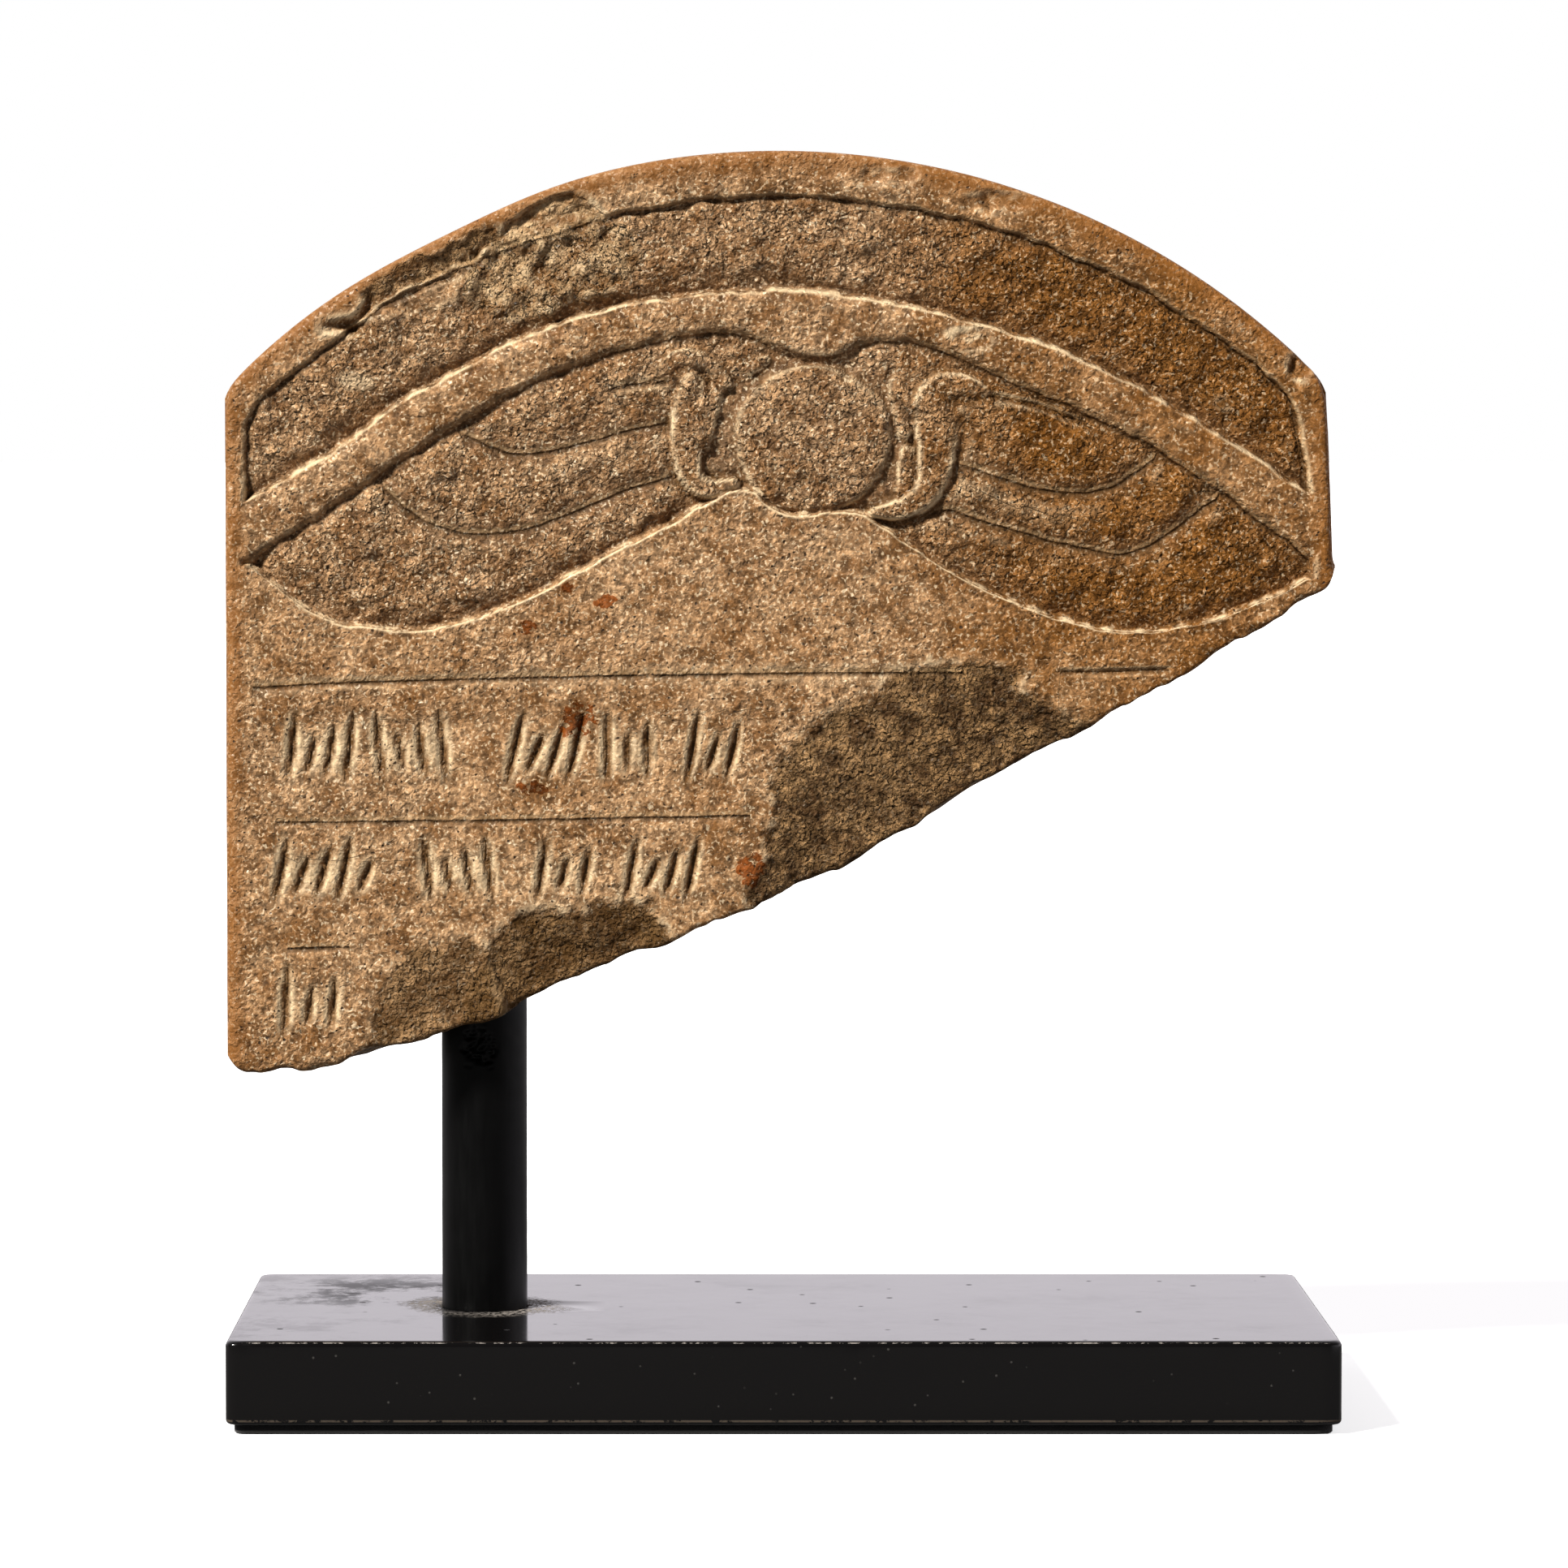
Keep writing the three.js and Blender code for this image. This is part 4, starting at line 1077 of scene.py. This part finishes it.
# Raised edges made pale: wear, and painted highlight
pale_wear_and_highlight = times(share_of("ridge_wear_and_highlight"), ramp(crumble, (0.38, 0.6), (0.52, 1.0)))
bed = mixed(pale_wear_and_highlight, bed, "#dcc29a")
bed = mixed(times(share_of("worn"), 0.65), bed, "#845424")
broken = mixed(0.9, mixed(blot_share, "#94734c", "#42301e"), grain_tone_and_pit_shade, "MULTIPLY")
bed = mixed(times(share_of("scar"), 0.85), bed, broken)
bed = mixed(times(share_of("rough"), 0.55), bed, mixed(blot_share, "#c8a87c", "#7a5630"))
# Painted shade and grime darken the hollows
bed = mixed(times(share_of("cavity_shade_and_grime"), 0.4), bed, "#523818")
# Iron stains, open pores, and along each carved line a painted shadow in the cut and a painted highlight on
# its lip
rust_share = ramp(times(share_of("rust"), scaled(crumble, 6.0, -2.1)), (0.42, 0.0), (0.52, 1.0))
rust_tone = mixed(0.9, mixed(blot_share, "#74380c", "#3c1a04"), grain_tone_and_pit_shade, "MULTIPLY")
bed = mixed(times(rust_share, 0.9), bed, rust_tone)
pore = dots(600, (0.1, 0.22), (0.66, 0.7), shaken)
bed = mixed(pore, bed, "#3c2c1e")
line_place = mapped(share_of("line"), -2.0, 2.0)
groove_and_shadow_mark = ramp(line_place, (0.1, 0.0), (0.3, 1.0), (0.37, 1.0), (0.48, 0.0))
lip_highlight_mark = ramp(line_place, (0.45, 0.0), (0.56, 1.0), (0.64, 1.0), (0.76, 0.0))
# Painted shadow in the cut of each carved line, and painted highlight on its lip
bed = mixed(times(groove_and_shadow_mark, 0.5), bed, "#3a2a18")
bed = mixed(times(lip_highlight_mark, 0.3), bed, "#b0946c")
# Dull stone whose grains catch a little light, except where it is stained or broken
matt = greatest(rust_share, times(share_of("patina"), 0.7), times(share_of("scar"), 0.7))
shine = times(scaled(fleck_and_glint, 0.3, 0.12), scaled(matt, -0.9, 1.0))
# Bumps: the step at a recess's edge, the crumbling surface, grains and pores, and the cut lines
settled = greatest(share_of("smooth_and_shade"), share_of("ridge_wear_and_highlight"), share_of("calm"))
patchy = computed("MULTIPLY_ADD", blot_share, -0.45, scaled(share_of("rough"), 0.5, 1.0))
lively = times(times(scaled(settled, -0.7, 1.0), patchy), scaled(share_of("carved"), 1.3, 1.1))
step_place = mapped(scaled(crumble, 4.0, share_of("recess")), -2.0, 6.0)
step_bump = bumped(ramp(step_place, (0.46, 1.0), (0.57, 0.0)), 0.55e-3)
coarse_height = times(computed("SUBTRACT", crumble, 0.5), lively)
coarse_bump = bumped(coarse_height, 1.15e-3, over=step_bump)
kernels = cells(1000, shaken)
raised = times(mapped(kernels.outputs["Distance"], 0.0, 1.0, 1.0, 0.0),
               mapped(kernels.outputs["Color"], 0.2, 0.8, 0.2, 1.0))
fine_bump = bumped(times(scaled(pore, -0.5, raised), lively), 0.55e-3, over=coarse_bump)
set_inputs(shader, {
    "Base Color": bed,
    "Roughness": mapped(grains, 0.35, 0.65, 0.65, 0.38),
    "Specular IOR Level": shine,
    "Normal": bumped(groove_and_shadow_mark, -0.35e-3, over=fine_bump),
})
stele.data.materials.append(sandstone)
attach(stele, "root")
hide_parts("stele")

# Floor, light and camera
# A plain pale floor running out to a white surround, one large soft light high on the left in
# front, and a camera with a long lens a metre and a half away, a little above the base.
FLOOR_SIZE = 60
FLOOR_GLOW = 0.68
LIGHT_WAY = (0.56, 0.52, -0.66)
LIGHT_STRENGTH = 7.4
LIGHT_WIDTH = math.radians(9)
CAMERA_PLACE = (-0.0185, -1.5023, 0.2227)
CAMERA_PITCH = 3.0415
PHOTO_WIDTH_PX = 1932
FOCAL_PX = 8000
SHIFT_PX = 102.24
SENSOR_MM = 36
floor_mesh = bpy.data.meshes.new("floor")
floor_corners = [(x * FLOOR_SIZE, y * FLOOR_SIZE, 0) for x, y in ((-1, -1), (1, -1), (1, 1), (-1, 1))]
floor_mesh.from_pydata(floor_corners, [], [(0, 1, 2, 3)])
floor = bpy.data.objects.new("floor", floor_mesh)
bpy.context.scene.collection.objects.link(floor)
paper, tree, shader, place = new_material("pale_floor")
seen_directly = add_node(tree, "ShaderNodeLightPath").outputs["Is Camera Ray"]
set_inputs(shader, {
    "Base Color": mixed(seen_directly, "#6c6c6c", "#dcdcdc"),
    "Roughness": 1.0,
    "Specular IOR Level": 0.0,
    "Emission Color": (1, 1, 1, 1),
    "Emission Strength": times(seen_directly, FLOOR_GLOW),
})
floor.data.materials.append(paper)

# White surround: seen as plain white, and lighting the stone from behind and from the right
world = bpy.data.worlds.new("white_surround")
world.use_nodes = True
bpy.context.scene.world = world
tree = world.node_tree
tree.nodes.clear()
way = add_node(tree, "ShaderNodeTexCoord").outputs["Generated"]
split = add_node(tree, "ShaderNodeSeparateXYZ", {0: way})
wall = mapped(split.outputs["Y"], -0.1, 0.9, 0.09, 1.25)
side_wall = mapped(split.outputs["X"], 0.75, 1.0, 0.0, 1.7)
walls = computed("ADD", wall, side_wall)
surround = add_node(tree, "ShaderNodeBackground", {"Color": linear("#f8f2f9"), "Strength": walls})
seen = add_node(tree, "ShaderNodeBackground", {"Color": (1, 1, 1, 1), "Strength": 1.0})
seen_directly = add_node(tree, "ShaderNodeLightPath").outputs["Is Camera Ray"]
chosen = add_node(
    tree, "ShaderNodeMixShader", {0: seen_directly, 1: surround.outputs[0], 2: seen.outputs[0]})
add_node(tree, "ShaderNodeOutputWorld", {"Surface": chosen.outputs[0]})

key_data = bpy.data.lights.new("key", "SUN")
key_data.energy = LIGHT_STRENGTH
key_data.angle = LIGHT_WIDTH
key_data.color = (1.0, 0.97, 0.93)
key = bpy.data.objects.new("key", key_data)
bpy.context.scene.collection.objects.link(key)
key.rotation_mode = "QUATERNION"
key.rotation_quaternion = Vector(LIGHT_WAY).to_track_quat("-Z", "Y")

camera_data = bpy.data.cameras.new("camera")
camera_data.sensor_width = SENSOR_MM
camera_data.lens = FOCAL_PX / PHOTO_WIDTH_PX * SENSOR_MM
camera_data.shift_x = SHIFT_PX / PHOTO_WIDTH_PX
camera = bpy.data.objects.new("camera", camera_data)
camera.location = CAMERA_PLACE
camera.rotation_euler = (math.radians(90 - CAMERA_PITCH), 0, 0)
bpy.context.scene.collection.objects.link(camera)
bpy.context.scene.camera = camera
bpy.context.scene.view_settings.view_transform = "Standard"
